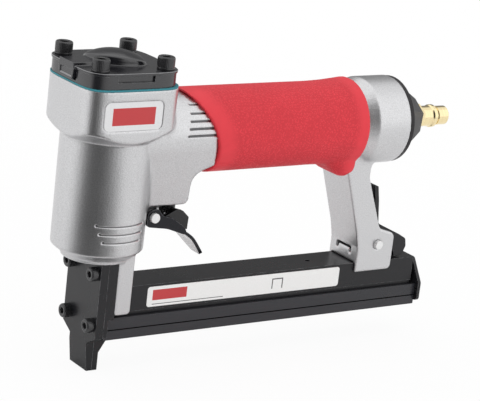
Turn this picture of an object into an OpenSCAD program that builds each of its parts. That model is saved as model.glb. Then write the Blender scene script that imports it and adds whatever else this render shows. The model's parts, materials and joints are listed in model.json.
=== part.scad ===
// Pneumatic upholstery stapler
// X runs from the nose to the air inlet, Z is up, and Y is across the tool.
// The origin is where a staple leaves the nose, on the driver's axis.

/* [Barrel and head] */
// Ledge of the head's sides beyond the barrel
barrel_ledge = 2; // [1.5:0.1:2.4]
// Thickness of the barrel's wall in front of the cylinder sleeve
barrel_wall = 2.6; // [2.4:0.1:3]
// Distance of the barrel's middle behind the driver's axis
barrel_shift = 1.7; // [1:0.1:2]
// Height of the barrel's foot over the nose tip
barrel_z = 57; // [56:0.5:60]
// Length of the barrel up to the head
barrel_h = 59.4; // [58.5:0.1:61]
// Radius of the barrel's foot
barrel_foot_r = 17.2; // [16.5:0.1:18]
// Height of the chamfer over the barrel's foot
barrel_chamfer_h = 4.2; // [4:0.1:6]
// Height of the head up to the gasket
head_h = 27.8; // [27:0.1:30]
// Half length of the head from front to rear
head_half_l = 25.6; // [25:0.1:27]
// Half width of the head
head_half_w = 24.5; // [24.2:0.1:26]
// Distance of the head's middle behind the barrel axis
head_shift = 2.5; // [2:0.1:3]
// Distance of the cap screws from the head's front and rear edges
cap_screw_edge_l = 7.9; // [7.4:0.1:8]
// Distance of the cap screws from the head's sides
cap_screw_edge_w = 7.2; // [6.8:0.1:7.4]

/* [Cap] */
// Thickness of the head gasket
gasket_t = 0.8; // [0.5:0.1:1.5]
// Height of the cylinder cap
cap_h = 6.3; // [6:0.1:7]
// Distance that the cap stands back from the gasket's edge
cap_inset = 0.9; // [0.4:0.1:1.2]
// Thickness of the exhaust deflector's plate
deflector_t = 1.4; // [1.2:0.1:2]
// Length of the deflector's dome from tip to tip
dome_l = 30.5; // [28:0.5:31]
// Width of the dome
dome_w = 20; // [18:0.5:22]
// Height of the dome over the plate
dome_h = 6; // [4:0.1:6.5]
// Width of the front hood
hood_w = 14.2; // [12:0.1:16]
// Thickness of a spring washer under a cap screw
washer_t = 1.1; // [0.8:0.1:1.6]

/* [Handle and grip] */
// Height of the handle's axis over the head's lower edge
handle_rise = 0.7; // [0:0.1:1.5]
// Ledge of the head's sides beyond the rear collar
collar_ledge = 1.9; // [1.4:0.1:2.4]
// Step from the rear collar down to the neck in front of the grip
neck_step = 3.2; // [2.8:0.1:3.6]
// Step from the rear collar down to the handle under the grip
tube_step = 4.8; // [4.6:0.1:5.2]
// Thickness of the handle's wall
handle_wall = 4.3; // [4:0.1:5.5]
// Thickness of the grip along the handle
grip_t = 3.4; // [2.6:0.1:3.7]
// Thickness of the grip at its rear edge
grip_rear_t = 5; // [4:0.1:5.2]
// Distance of the grip's rear edge behind the barrel axis
grip_end_x = 142.7; // [140:0.1:143]
// Radius of the curve that the grip's front edge follows
grip_front_r = 55; // [54:0.1:56]
// Distance of the handle's rear end behind the barrel axis
handle_end_x = 169.2; // [168:0.1:171]

/* [Trigger and valve] */
// Distance of the trigger web's underside below the handle's axis
web_drop = 35.1; // [34.5:0.1:36]
// Distance of the web's rear edge behind the barrel axis
web_x = 45.6; // [45.4:0.1:47]
// Half width of the web at its underside
web_half_w = 9.5; // [9:0.1:10.5]
// Distance of the trigger pin behind the barrel axis
trigger_x = 27.3; // [27:0.1:28]
// Distance of the trigger pin below the web's underside
trigger_pin_drop = 5.7; // [5.3:0.1:6]
// Radius of the trigger pin
trigger_pin_r = 2.5; // [2:0.1:2.7]
// Length of the trigger from its front edge to its tip
trigger_l = 35; // [34:0.1:36]
// Height of the trigger from its tip to its top
trigger_h = 27; // [26:0.1:27.4]
// Half width of the trigger over its cheeks
trigger_half_w = 9; // [8.8:0.1:9.4]
// Thickness of the trigger's sheet
trigger_t = 1.6; // [1.2:0.1:1.7]
// Distance of the trigger valve behind the barrel axis
valve_x = 40.5; // [40:0.1:40.8]

/* [Nose] */
// Distance of the front plate's face in front of the driver's axis
front_plate_x = 3.7; // [3.2:0.1:5]
// Half width of the front plate
front_plate_half_w = 15.5; // [15.2:0.1:17]
// Half width of the nose tip
tip_half_w = 8; // [7.4:0.1:8.4]
// Thickness of the guide plate
guide_t = 5.3; // [5:0.1:5.6]
// Thickness of the casting's leg behind the guide plate
leg_t = 9.2; // [8.5:0.1:10]
// Height of the leg's lower end over the nose tip
leg_z = 30; // [29:0.1:31]
// Distance of each nose screw from the middle
nose_screw_y = 11.1; // [11:0.1:12]
// Height of the upper nose screws over the nose tip
nose_screw_high_z = 51.2; // [50:0.1:52]
// Height of the lower nose screws over the nose tip
nose_screw_low_z = 25.1; // [24.5:0.1:25.5]

/* [Magazine] */
// Half width of the magazine channel
channel_half_w = 10.1; // [10:0.1:10.4]
// Height of the channel's top over the nose tip
channel_top_z = 42.4; // [42.2:0.1:42.8]
// Height of the channel's visible side
channel_side_h = 12.9; // [12.5:0.1:13.5]
// Thickness of the channel's sheet
channel_t = 1.5; // [1.3:0.1:1.7]
// Length of the channel behind the rear arm
channel_tail = 16.5; // [16:0.1:16.6]
// Half width of the drawer rail
rail_half_w = 11.5; // [11.4:0.1:12.2]
// Height of the drawer rail's top over the nose tip
rail_top_z = 27.4; // [27:0.1:28]
// Height of the drawer rail
rail_h = 11.2; // [11:0.1:11.3]
// Thickness of the drawer rail's wall
rail_t = 1.8; // [1.7:0.1:2]
// Length of the drawer rail behind the channel
rail_tail = 2.8; // [1.8:0.1:3.5]
// Thickness of the rear end plate
end_plate_t = 1.8; // [1.2:0.1:2.5]
// Gap between the casting's leg and the magazine label
label_front_gap = 12; // [2:0.1:30]
// Gap between the magazine label and the rear arm
label_rear_gap = 9; // [2:0.1:30]
// Radius of the pusher rod
pusher_rod_r = 1.5; // [1.2:0.1:1.7]
// Number of coils in the pusher spring
pusher_spring_turns = 40; // [30:1:45]

/* [Rear arm and latch] */
// Half width of the rear arm
arm_half_w = 12; // [11.8:0.1:12.5]
// Distance of the arm's front edge at the handle behind the barrel axis
arm_x = 138; // [137:0.1:139]
// Length of the arm's side view from front to rear
arm_l = 39; // [38.5:0.1:40]
// Height of the arm's lower end over the nose tip
arm_z = 37.7; // [37:0.1:38.5]
// Distance of the latch pin from the arm's rear edge
latch_inset = 10.7; // [10.4:0.1:11]
// Height of the latch pin over the nose tip
latch_z = 52.1; // [51.8:0.1:52.5]
// Radius of the latch pin
latch_pin_r = 2.35; // [2:0.05:2.5]
// Half width of the latch lever
latch_half_w = 8.2; // [7.5:0.1:8.3]

/* [Air inlet] */
// Thickness of the end cap's flange
cap_flange_t = 2.2; // [1.5:0.1:3]
// Step from the rear collar down to the corners of the end cap's six-sided cone
cap_hex_step = 2; // [1.5:0.1:3]
// Length of the end cap's six-sided cone
cap_hex_l = 16.2; // [14:0.1:17]
// Radius of the nipple's tip
nipple_tip_r = 5; // [4.5:0.05:5.2]
// Radius of the nipple's neck
nipple_neck_r = 5.4; // [5:0.1:5.6]
// Radius of the nipple's locking ring
nipple_ring_r = 6; // [5.8:0.1:6.4]
// Distance of the nipple's end behind the barrel axis
nipple_end_x = 209.4; // [208:0.1:212]
// Radius of the nipple's air passage
nipple_bore_r = 2.6; // [2:0.1:3]

/* [Engine] */
// Thickness of the cylinder sleeve's wall
sleeve_t = 2.7; // [2.4:0.1:3]
// Stroke of the piston
stroke = 41; // [40:0.1:41.2]
// Height of the piston
piston_h = 9; // [8:0.1:10]
// Height of the rubber bumper
bumper_h = 9.4; // [9:0.1:9.5]
// Lap of the head valve over the cylinder sleeve
head_valve_lap = 1.2; // [0.8:0.1:1.4]
// Lift of the head valve
head_valve_lift = 3; // [2:0.1:4]
// Thickness of the driver blade
blade_t = 1; // [0.9:0.05:1.1]
// Half width of the driver blade
blade_half_w = 6.3; // [6:0.1:6.4]

/* [Hidden] */
$fn = 64;

// Clearances and overruns
press_gap = 0.02;
run_gap = 0.05;
slide_gap = 0.3;
over = 1;
arc_steps = 6;

// Levels of the barrel, head and cap
barrel_r = min(head_half_w, head_half_l) - barrel_ledge;
head_z = barrel_z + barrel_h;
head_top_z = head_z + head_h;
cap_z = head_top_z + gasket_t;
deflector_z = cap_z + cap_h;
deflector_top_z = deflector_z + deflector_t;
shoulder_h = 1.2;
shoulder_share = 0.72;
shoulder_reach = 40;
cap_screw_lead = 0.85;
cap_mid_x = head_shift - cap_screw_lead;
barrel_foot_h = 1.5;
oval_power = 5;
oval_points_n = 96;

// Handle and trigger web
handle_z = head_z + handle_rise;
collar_r = head_half_w - collar_ledge;
neck_r = collar_r - neck_step;
tube_r = collar_r - tube_step;
chamber_r = tube_r - handle_wall;
grip_r = tube_r + grip_t;
grip_rear_r = tube_r + grip_rear_t;
web_z = handle_z - web_drop;
trigger_z = web_z - trigger_pin_drop;

// Inside of the barrel and the head
floor_t = 4.3;
floor_z = barrel_z + floor_t;
cavity_rise = 9.6;
cavity_z = head_z + cavity_rise;
sleeve_r = barrel_r - barrel_shift - barrel_wall;
bore_r = sleeve_r - sleeve_t;
head_valve_r = sleeve_r + head_valve_lap;

// Socket head cap screws: M5 on the cap, M4 on the nose, M3 on the drawer
cap_screw_r = 2.5;
cap_screw_head_r = 4.25;
cap_screw_head_h = 5;
cap_screw_depth = 14;
cap_hole_r = 2.75;
cap_socket_r = 2.31;
cap_socket_depth = 2.6;
nose_screw_r = 2;
nose_screw_head_r = 3.5;
nose_screw_head_h = 4;
nose_screw_depth = 7.5;
nose_hole_r = 2.15;
nose_socket_r = 1.73;
nose_socket_depth = 2;
small_screw_r = 1.5;
small_screw_head_r = 2.75;
small_screw_head_h = 1.8;
small_screw_depth = 6;
small_socket_r = 1.15;
small_socket_depth = 1.1;
screw_edge = 0.4;

// Three engraved lines low on the near side of the barrel
barrel_line_n = 3;
barrel_line_w = 0.6;
barrel_line_depth = 0.5;
barrel_line_pitch = 4.05;
barrel_line_rise = 12.5;
barrel_line_z = barrel_z + barrel_line_rise;
barrel_line_start = 245.6;
barrel_line_turn = 54.8;
barrel_line_taper = 5;
barrel_line_growth = 7.9;

// Fine grooves on the neck in front of the grip
rib_w = 1.2;
rib_depth = 0.6;
rib_x = 35.6;
rib_lead = 0.95;
rib_turns = [6.5, 16.8, 27.8, 39.9, 55];
front_edge_drop = 17.1;
front_edge_z = handle_z - front_edge_drop;

// Web under the handle, which carries the trigger and its valve
web_fillet = 7;
web_corner_r = 2.5;
web_lean = 2.2;
web_bend_drop = 18.7;
web_bend_z = handle_z - web_bend_drop;
web_slope_share = 0.4;
// The web's sides run up to the neck's round as tangents
web_lap = 0.02;
web_side_r = neck_r - web_lap;
web_side_turn = atan2(web_drop, web_half_w) - acos(web_side_r / norm([web_half_w, web_drop]));
web_side = web_side_r * [cos(web_side_turn), -sin(web_side_turn)];
lug_r = 4.2;
lug_half_w = 6.9;
lug_half_l = 4.2;

// Trigger valve
valve_flange_r = 6.9;
valve_flange_h = 1.6;
valve_boss_r = 3.6;
valve_boss_h = 6;
valve_plug_r = 5.9;
valve_plug_h = 19;
valve_chamber_r = 3.6;
valve_floor_h = 6.2;
valve_ring_r = 0.8;
valve_ring_depth = 1.65;
valve_ring_low = 4;
valve_ring_pitch = 10;
stem_r = 2;
stem_reach = 3;
stem_tip_r = 1;
stem_tip_h = 0.8;
stem_head_r = 3.3;
stem_head_h = 1.6;
valve_cap_t = 1.5;
valve_cap_hole_r = 1.2;
valve_spring_r = 2.7;
valve_wire_r = 0.35;
valve_spring_turns = 6;
valve_top_z = web_z + valve_plug_h;
valve_floor_z = web_z + valve_floor_h;
valve_foot_z = web_z - valve_boss_h;

// Nose plates
plate_joint_x = 0.7;
front_plate_t = front_plate_x + plate_joint_x;
guide_x = plate_joint_x + guide_t;
leg_x = guide_x + leg_t;
leg_inset = 0.5;
leg_half_w = front_plate_half_w - leg_inset;
leg_corner_r = 2;
ear_z = 19;
ear_slope_h = 4;
tip_bevel_h = 12;
tip_bevel_d = 1.5;
guide_ear_t = 2.3;
staple_gap = 0.7;
guide_slot_half_w = blade_half_w + staple_gap;
guide_foot_l = 2;
guide_foot_z = 9;
guide_foot_tip_t = 3;
blade_gap = 0.25;
window_z = 23.5;

// Rear ends of the arm, the channel and the drawer
arm_front_share = 0.397;
arm_front_x = arm_x + arm_front_share * arm_l;
arm_end_x = arm_x + arm_l;
latch_x = arm_end_x - latch_inset;
channel_end_x = arm_end_x + channel_tail;
rail_end_x = channel_end_x + rail_tail;

// Magazine and drawer
channel_x = guide_x + slide_gap;
channel_low_z = channel_top_z - channel_side_h;
skirt_t = 0.8;
skirt_in = channel_half_w - channel_t;
bead_w = 0.8;
bead_h = 1.2;
rail_z = rail_top_z - rail_h;
rail_in = rail_half_w - rail_t;
rail_x = plate_joint_x + guide_ear_t + slide_gap;
rail_floor_t = 2;
rail_floor_z = rail_z + rail_floor_t;
rail_floor_x = guide_x + guide_foot_l + 2 * slide_gap;
groove_h = bead_h + 2 * slide_gap;
groove_d = bead_w;
groove_rise = 4.1;
groove_z = rail_z + groove_rise;
line_groove_h = 0.6;
line_groove_d = 0.3;
line_z = groove_z + groove_h / 2;
channel_hole_r = 1.5;
channel_hole_x = 130.7;
core_half_w = 5.3;
core_t = 1.2;
core_room = 1.5;
core_top_z = channel_top_z - channel_t - core_room;
core_x = guide_x + slide_gap;
core_block_l = 8;
core_end_x = rail_end_x - core_block_l;
core_slot_half_w = 1.4;
core_block_half_w = 8;
core_block_h = 8;
rod_drop = 8.9;
rod_z = core_top_z - rod_drop;
pusher_l = 11.5;
pusher_out = skirt_in - 1.3 * slide_gap;
pusher_x = core_x + core_t + slide_gap;
pusher_collar_r = 3.6;
pusher_collar_l = 5.7;
pusher_rise = 5.8;
pusher_low_z = rail_floor_z + pusher_rise;
pusher_tongue_half_w = 1.1;
pusher_spring_r = 3;
pusher_wire_r = 0.4;
end_plate_top_z = 40.6;
end_plate_top_half_w = 6;
end_plate_half_w = 13.9;
end_plate_wide_z = 28.5;
end_plate_low_z = 18.4;
end_plate_corner_r = 2;
end_screw_y = 6.4;
end_screw_z = rail_floor_z + core_block_h / 2;
label_t = 0.3;
label_h = 10.4;
label_x = leg_x + label_front_gap;
label_l = arm_front_x - label_rear_gap - label_x;
label_corner_r = 1.5;

// Rear arm: its side view as shares of its length and height, with a corner radius as a share of the length
arm_drop = 12.7;
arm_h = handle_z - arm_z - arm_drop;
bay_share = 0.53;
arm_shares = [
    [0, 1, 0], [0.072, 0.814, 0], [0.346, 0.335, 0.2], [arm_front_share, 0.207, 0.2],
    [arm_front_share, 0, 0],
    [1, 0, 0.06], [1, 0.294, 0.1], [0.731, 0.345, 0.09], [0.444, 0.774, 0.2], [0.45, 0.885, 0.13],
    [0.62, 0.915, 0], [0.641, 1, 0]
];
bay_x = arm_x + bay_share * arm_l;
bay_half_w = latch_half_w + 1.6 * slide_gap;
bay_rise = 23.9;
bay_top_z = latch_z + bay_rise;
arm_slot_half_w = 6;
arm_slot_line = 1.1;
arm_slot_z = 46.6;
arm_slot_h = 3.4;
channel_screw_x = (arm_front_x + bay_x) / 2;
channel_screw_depth = 5.5;

// Latch lever: its side view as shares of the distances that it reaches from its pin
latch_reach = 22.4;
latch_rise = 31.6;
latch_shares = [
    [-0.174, -0.098, 0.05], [-0.174, 0.123, 0.07], [-0.089, 0.377, 0.1], [-0.103, 0.756, 0.3],
    [-0.183, 1, 0.03], [-0.065, 0.973, 0.045], [0.006, 0.715, 0.3], [0.077, 0.322, 0.1],
    [0.75, 0.1, 0.1], [0.964, 0.013, 0.09], [1, -0.123, 0.09], [0.906, -0.278, 0.08],
    [0.674, -0.284, 0.05], [0.625, -0.142, 0.1], [0.254, -0.155, 0.1]
];
latch_hub_r = 4.6;
latch_spring_half_l = 2.6;
latch_spring_r = 3.5;
latch_wire_r = 0.35;
latch_spring_turns = 3;
pin_stand = 1.7;

// Trigger: its side view as shares of its length and height, measured from its front edge and its tip
trigger_lead = 4.6;
trigger_drop = 21.9;
trigger_front_x = trigger_x - trigger_lead;
trigger_tip_z = trigger_z - trigger_drop;
trigger_cheek_shares = [
    [0.02, 0.64, 0.06], [0.03, 0.93, 0.1], [0.2, 0.975, 0.08], [0.27, 0.83, 0.1], [0.44, 0.77, 0.2],
    [0.66, 0.58, 0.1], [0.72, 0.42, 0], [0.62, 0.455, 0.3], [0.37, 0.575, 0.5]
];
trigger_blade_shares = [
    [0.3, 0.595, 0], [0.42, 0.565, 0.6], [0.64, 0.47, 0.6], [0.81, 0.315, 0.6], [1.06, -0.05, 0]
];
// The blade's width over its height, as shares of the trigger's half width and height
trigger_width_shares = [[1, 0.42], [0.8, 0.2], [0.55, 0.02], [0.25, -0.12]];
// Black insert between the cheeks, which presses the valve stem
insert_half_w = 7.2;
insert_in = 4.6;
insert_drop = 3.8;
insert_floor_z = trigger_z - insert_drop;
insert_shares = [
    [0.337, 0.65, 0], [0.337, 0.79, 0.02], [0.537, 0.91, 0.02], [0.64, 0.87, 0.03], [0.743, 0.744, 0.02],
    [0.734, 0.511, 0], [0.64, 0.545, 0], [0.42, 0.64, 0]
];

// End cap, its seal and the nipple
cap_hex_turn = 155;
cap_hex_tip_r = 10;
collar_wall = 4.2;
cap_spigot_r = collar_r - collar_wall;
cap_hex_r = collar_r - cap_hex_step;
cap_spigot_l = 14;
cap_passage_r = 8;
cap_seal_r = 1.3;
cap_seal_depth = 2.65;
cap_seal_inset = 11.3;
cap_seal_x = handle_end_x - cap_seal_inset;
nipple_thread_r = 6.5;
nipple_thread_l = 13;
nipple_hex_r = 6.8;
nipple_hex_l = 4;
nipple_tip_l = 7;
nipple_groove_l = 2;
nipple_groove_r = 4.5;
nipple_ring_l = 2.6;
nipple_edge = 0.9;
collar_x = 149.5;
collar_neck_step = 3.6;
collar_neck_r = collar_r - collar_neck_step;
collar_neck_x = grip_end_x + slide_gap;

// Engine
piston_rise = 4.6;
piston_top_z = head_z + piston_rise;
piston_z = piston_top_z - piston_h;
piston_r = bore_r - run_gap;
piston_ring_r = 1.25;
piston_ring_depth = 2.55;
piston_boss_share = 0.4;
piston_boss_r = bore_r * piston_boss_share;
piston_boss_h = 8;
blade_tip_z = stroke + 0.4 * blade_t;
blade_tang_edge = 1.7;
blade_tang_half_w = piston_boss_r - blade_tang_edge;
driver_pin_r = 1.5;
driver_pin_l = 11;
driver_pin_z = piston_z - piston_boss_h / 2;
bumper_r = bore_r - slide_gap;
bumper_hole_gap = 1.3;
bumper_hole_r = piston_boss_r + bumper_hole_gap;
sleeve_seal_r = 0.75;
sleeve_seal_depth = 1.55;
sleeve_seal_low = 12;
sleeve_seal_high = 52;
return_hole_r = 1.5;
return_hole_n = 8;
return_hole_h = 6;
head_seal_t = 2.2;
head_seal_edge = 1.4;
head_seal_r = head_valve_r - head_seal_edge;
head_valve_h = 9.3;
head_valve_hole_r = 3.5;
head_spring_r = 10;
head_wire_r = 0.6;
head_spring_turns = 5;
head_spring_seat_h = 2.8;
port_half_w = 6;
port_h = 4;
port_l = 15;
chamber_x = 24;

// Name plate pocket on the near side of the head
plate_l = 31.9;
plate_h = 14.5;
plate_corner_r = 3.2;
plate_pocket = 1.1;
plate_t = 0.8;
plate_lead = 2.2;
plate_rise = 15.9;
plate_mid_x = head_shift - plate_lead;
plate_mid_z = head_z + plate_rise;

// Deflector details
hood_t = 3.8;
hood_drop = 5.1;
hood_stand = 0.75;
hood_taper = 0.7;
hood_corner_r = 1.4;
hood_frame = 1.2;
hood_frame_depth = 0.5;
tongue_h = 1.6;
deflector_wall = 1.3;
cap_window_half_l = 9.9;
cap_window_h = 3.1;
cap_window_depth = 1.2;
exhaust_hole_r = 5;
cap_lead = 0.6;
dome_turn = 50;
dome_crown_share = 0.75;
dome_rise = dome_crown_share * dome_h;
dome_crown_r = (dome_l * dome_l / 4 + dome_rise * dome_rise) / (2 * dome_rise);
dome_arc_r = (dome_l * dome_l / 4 + dome_w * dome_w / 4) / dome_w;

// Springs as one tube: rings on each curl, and sides around the wire
spring_rings = 8;
curl_gap = 0.5;
spring_sides = 6;

function unit(v) = v / norm(v);

// Points of the arc that rounds the corner b between a and c
function corner_arc(a, b, c, r) =
    let (
        u = unit(a - b),
        w = unit(c - b),
        half = acos(u * w) / 2,
        mid = b + unit(u + w) * r / sin(half),
        from = b + u * r / tan(half) - mid,
        to = b + w * r / tan(half) - mid,
        start = atan2(from[1], from[0]),
        turn = atan2(to[1], to[0]) - start,
        sweep = turn > 180 ? turn - 360 : turn < -180 ? turn + 360 : turn
    )
    [for (i = [0 : arc_steps])
        let (t = start + sweep * i / arc_steps)
        mid + r * [cos(t), sin(t)]];

// Closed outline through corners given as [x, y, radius]
function rounded(corners) =
    let (
        n = len(corners),
        flat = [for (p = corners) [p[0], p[1]]]
    )
    [for (i = [0 : n - 1])
        each corners[i][2] > 0
            ? corner_arc(flat[(i + n - 1) % n], flat[i], flat[(i + 1) % n], corners[i][2])
            : [flat[i]]];

// Corners given as shares of a size, from a base point
function placed(shares, base, size) =
    [for (s = shares) [base[0] + s[0] * size[0], base[1] + s[1] * size[1], s[2] * size[0]]];

// Rounded rectangle about a middle point
function soft_box(mid, l, h, r) =
    rounded([
        [mid[0] - l / 2, mid[1] - h / 2, r], [mid[0] + l / 2, mid[1] - h / 2, r],
        [mid[0] + l / 2, mid[1] + h / 2, r], [mid[0] - l / 2, mid[1] + h / 2, r]
    ]);

// Oval with four full sides, as the head and its cap have in plan
function oval(a, b) =
    [for (i = [0 : oval_points_n - 1])
        let (
            t = 360 * i / oval_points_n,
            x = sign(cos(t)) * pow(abs(cos(t)), 2 / oval_power),
            y = sign(sin(t)) * pow(abs(sin(t)), 2 / oval_power)
        )
        [a * x, b * y]];

// Height of a spring's wire at turn t, with the first and the last curl closed up
function coil_rise(t, turns, h, wire) =
    let (
        close = 2 * wire + curl_gap,
        pitch = (h - 2 * wire - 2 * close) / (turns - 2)
    )
    t < 1 ? t * close
    : t < turns - 1 ? close + (t - 1) * pitch
    : close + (turns - 2) * pitch + (t - turns + 1) * close;

function coil_point(t, r, turns, h, wire) =
    [r * cos(360 * t), r * sin(360 * t), wire + coil_rise(t, turns, h, wire)];

// Clear radius inside a spring, between the flats of its rings
function coil_inside(r, wire) = (r - wire) * cos(180 / spring_rings);

// Least gap between one curl of a spring and the next
function coil_gap(r, turns, h, wire) =
    min([for (i = [0 : (turns - 1) * spring_rings])
        let (
            here = coil_point(i / spring_rings, r, turns, h, wire),
            next = coil_point(i / spring_rings + 1, r, turns, h, wire)
        )
        norm(next - here) - 2 * wire]);

module rod_x(r, x0, x1, y, z) {
    translate([x0, y, z])
        rotate([0, 90, 0])
            cylinder(r = r, h = x1 - x0);
}

module rod_y(r, y0, y1, x, z) {
    translate([x, y0, z])
        rotate([-90, 0, 0])
            cylinder(r = r, h = y1 - y0);
}

module rod_z(r, z0, z1, x = 0, y = 0) {
    translate([x, y, z0])
        cylinder(r = r, h = z1 - z0);
}

module box(low, high) {
    translate(low)
        cube(high - low);
}

// Side view given in X and Z, between two values of Y
module side_view(points, y0, y1) {
    translate([0, y1, 0])
        rotate([90, 0, 0])
            linear_extrude(y1 - y0)
                polygon(points);
}

// Front view given in Y and Z, between two values of X
module front_view(points, x0, x1) {
    translate([x0, 0, 0])
        rotate([90, 0, 90])
            linear_extrude(x1 - x0)
                polygon(points);
}

// Plan given in X and Y, between two values of Z
module plan_view(points, z0, z1) {
    translate([head_shift, 0, z0])
        linear_extrude(z1 - z0)
            polygon(points);
}

// Profile of radius and X, turned about the handle's axis
module turned_x(points) {
    translate([0, 0, handle_z])
        rotate([0, 90, 0])
            rotate_extrude()
                polygon(points);
}

// Round seal ring lying flat
module ring(r, thick_r, z, x = 0) {
    translate([x, 0, z])
        rotate_extrude()
            translate([r, 0])
                circle(r = thick_r);
}

// Socket head cap screw standing on z = 0, with its shank below
module socket_screw(r, head_r, head_h, depth, socket_r, socket_depth) {
    difference() {
        rotate_extrude()
            polygon([
                [0, -depth], [r - press_gap, -depth], [r - press_gap, 0], [head_r, 0],
                [head_r, head_h - screw_edge], [head_r - screw_edge, head_h], [0, head_h]
            ]);
        translate([0, 0, head_h - socket_depth])
            cylinder(r = socket_r, h = socket_depth + over, $fn = 6);
    }
}

// Compression spring standing on z = 0, as one unbroken tube
module coil_spring(r, turns, h, wire) {
    rings = turns * spring_rings;
    points = [for (i = [0 : rings]) for (k = [0 : spring_sides - 1])
        let (
            t = i / spring_rings,
            c = coil_point(t, r, turns, h, wire),
            a = 360 * k / spring_sides
        )
        [(r + wire * cos(a)) * cos(360 * t), (r + wire * cos(a)) * sin(360 * t), c[2] + wire * sin(a)]];
    sides = [for (i = [0 : rings - 1]) for (k = [0 : spring_sides - 1])
        let (
            p = i * spring_sides + k,
            q = i * spring_sides + (k + 1) % spring_sides
        )
        each [[p, q, q + spring_sides], [p, q + spring_sides, p + spring_sides]]];
    last = rings * spring_sides;
    ends = [for (k = [1 : spring_sides - 2])
        each [[0, k + 1, k], [last, last + k, last + k + 1]]];
    polyhedron(points = points, faces = concat(sides, ends));
}

module at_cap_screws() {
    for (x = [-1, 1], y = [-1, 1])
        translate([cap_mid_x + x * (head_half_l - cap_screw_edge_l), y * (head_half_w - cap_screw_edge_w), 0])
            children();
}

// Nose screws point back along X
module at_nose_screws(z) {
    for (y = [-1, 1])
        translate([-front_plate_x, y * nose_screw_y, z])
            rotate([0, -90, 0])
                children();
}

module at_end_screws() {
    for (y = [-1, 1])
        translate([rail_end_x + end_plate_t, y * end_screw_y, end_screw_z])
            rotate([0, 90, 0])
                children();
}

// Space in front of the grip's curved front edge
module before_grip(gap) {
    rod_y(grip_front_r - gap, -barrel_r * 2, barrel_r * 2, 0, front_edge_z);
}

function arm_outline() = rounded(placed(arm_shares, [arm_x, arm_z], [arm_l, arm_h]));

function web_outline() =
    let (
        bend_x = web_x - web_lean,
        end_x = grip_front_r + over
    )
    rounded([
        [0, web_z, 0], [web_x, web_z, web_corner_r], [bend_x, web_bend_z, web_fillet],
        [end_x, web_bend_z + web_slope_share * (end_x - bend_x), 0], [end_x, handle_z, 0], [0, handle_z, 0]
    ]);

module head_block() {
    intersection() {
        plan_view(oval(head_half_l, head_half_w), head_z - over, head_top_z);
        translate([barrel_shift, 0, 0])
            rotate_extrude()
                polygon([
                    [0, head_z], [barrel_r, head_z], [barrel_r, head_z + shoulder_h],
                    [shoulder_reach, head_z + shoulder_h + shoulder_share * (shoulder_reach - barrel_r)],
                    [shoulder_reach, head_top_z], [0, head_top_z]
                ]);
    }
}

module barrel_body() {
    translate([barrel_shift, 0, 0])
        rotate_extrude()
            polygon([
                [0, barrel_z], [barrel_foot_r, barrel_z], [barrel_foot_r, barrel_z + barrel_foot_h],
                [barrel_r, barrel_z + barrel_foot_h + barrel_chamfer_h],
                [barrel_r, head_z + shoulder_h + over], [0, head_z + shoulder_h + over]
            ]);
}

module neck_and_web() {
    intersection() {
        union() {
            rod_x(neck_r, 0, grip_front_r, 0, handle_z);
            intersection() {
                side_view(web_outline(), -neck_r, neck_r);
                front_view(
                    [
                        [-web_half_w, web_z], [web_half_w, web_z],
                        [web_side[0], handle_z + web_side[1]], [web_side[0], handle_z],
                        [-web_side[0], handle_z], [-web_side[0], handle_z + web_side[1]]
                    ],
                    0, grip_front_r + over
                );
            }
        }
        before_grip(slide_gap);
    }
    rod_y(lug_r, -lug_half_w, lug_half_w, trigger_x, trigger_z);
    box([trigger_x - lug_half_l, -lug_half_w, trigger_z], [trigger_x + lug_half_l, lug_half_w, web_z + over]);
}

module neck_grooves() {
    for (i = [0 : len(rib_turns) - 1])
        let (x = rib_x + i * rib_lead)
            translate([0, 0, handle_z])
                rotate([-rib_turns[i], 0, 0]) {
                    box([x, -neck_r - over, -rib_w / 2], [grip_front_r, rib_depth - neck_r, rib_w / 2]);
                    rod_y(rib_w / 2, -neck_r - over, rib_depth - neck_r, x, 0);
                }
}

module rear_arm() {
    difference() {
        side_view(arm_outline(), -arm_half_w, arm_half_w);
        // The channel sits in the fork
        box(
            [arm_x, -channel_half_w - press_gap, arm_z - over],
            [arm_x + arm_l + over, channel_half_w + press_gap, channel_top_z]
        );
        // Bay of the latch lever, open to the rear
        box([bay_x, -bay_half_w, arm_z], [arm_x + arm_l + over, bay_half_w, bay_top_z]);
        // Slot with three sides through the front wall
        box(
            [arm_x, -arm_slot_half_w, arm_slot_z + arm_slot_h - arm_slot_line],
            [bay_x + over, arm_slot_half_w, arm_slot_z + arm_slot_h]
        );
        for (y = [-arm_slot_half_w, arm_slot_half_w - arm_slot_line])
            box(
                [arm_x, y, arm_slot_z],
                [bay_x + over, y + arm_slot_line, arm_slot_z + arm_slot_h]
            );
        rod_y(latch_pin_r + press_gap, -arm_half_w - over, arm_half_w + over, latch_x, latch_z);
        rod_z(small_screw_r, arm_z, channel_top_z + channel_screw_depth, channel_screw_x);
    }
}

module nose_leg() {
    difference() {
        side_view(
            rounded([
                [guide_x, leg_z, leg_corner_r], [leg_x, leg_z, leg_corner_r],
                [leg_x, barrel_z + barrel_foot_h + barrel_chamfer_h, 0],
                [guide_x, barrel_z + barrel_foot_h + barrel_chamfer_h, 0]
            ]),
            -leg_half_w, leg_half_w
        );
        box(
            [guide_x - over, -channel_half_w - press_gap, leg_z - over],
            [leg_x + over, channel_half_w + press_gap, channel_top_z]
        );
    }
}

module collar() {
    turned_x([
        [0, collar_neck_x], [collar_neck_r, collar_neck_x], [collar_r, collar_x],
        [collar_r, handle_end_x], [0, handle_end_x]
    ]);
}

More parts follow.
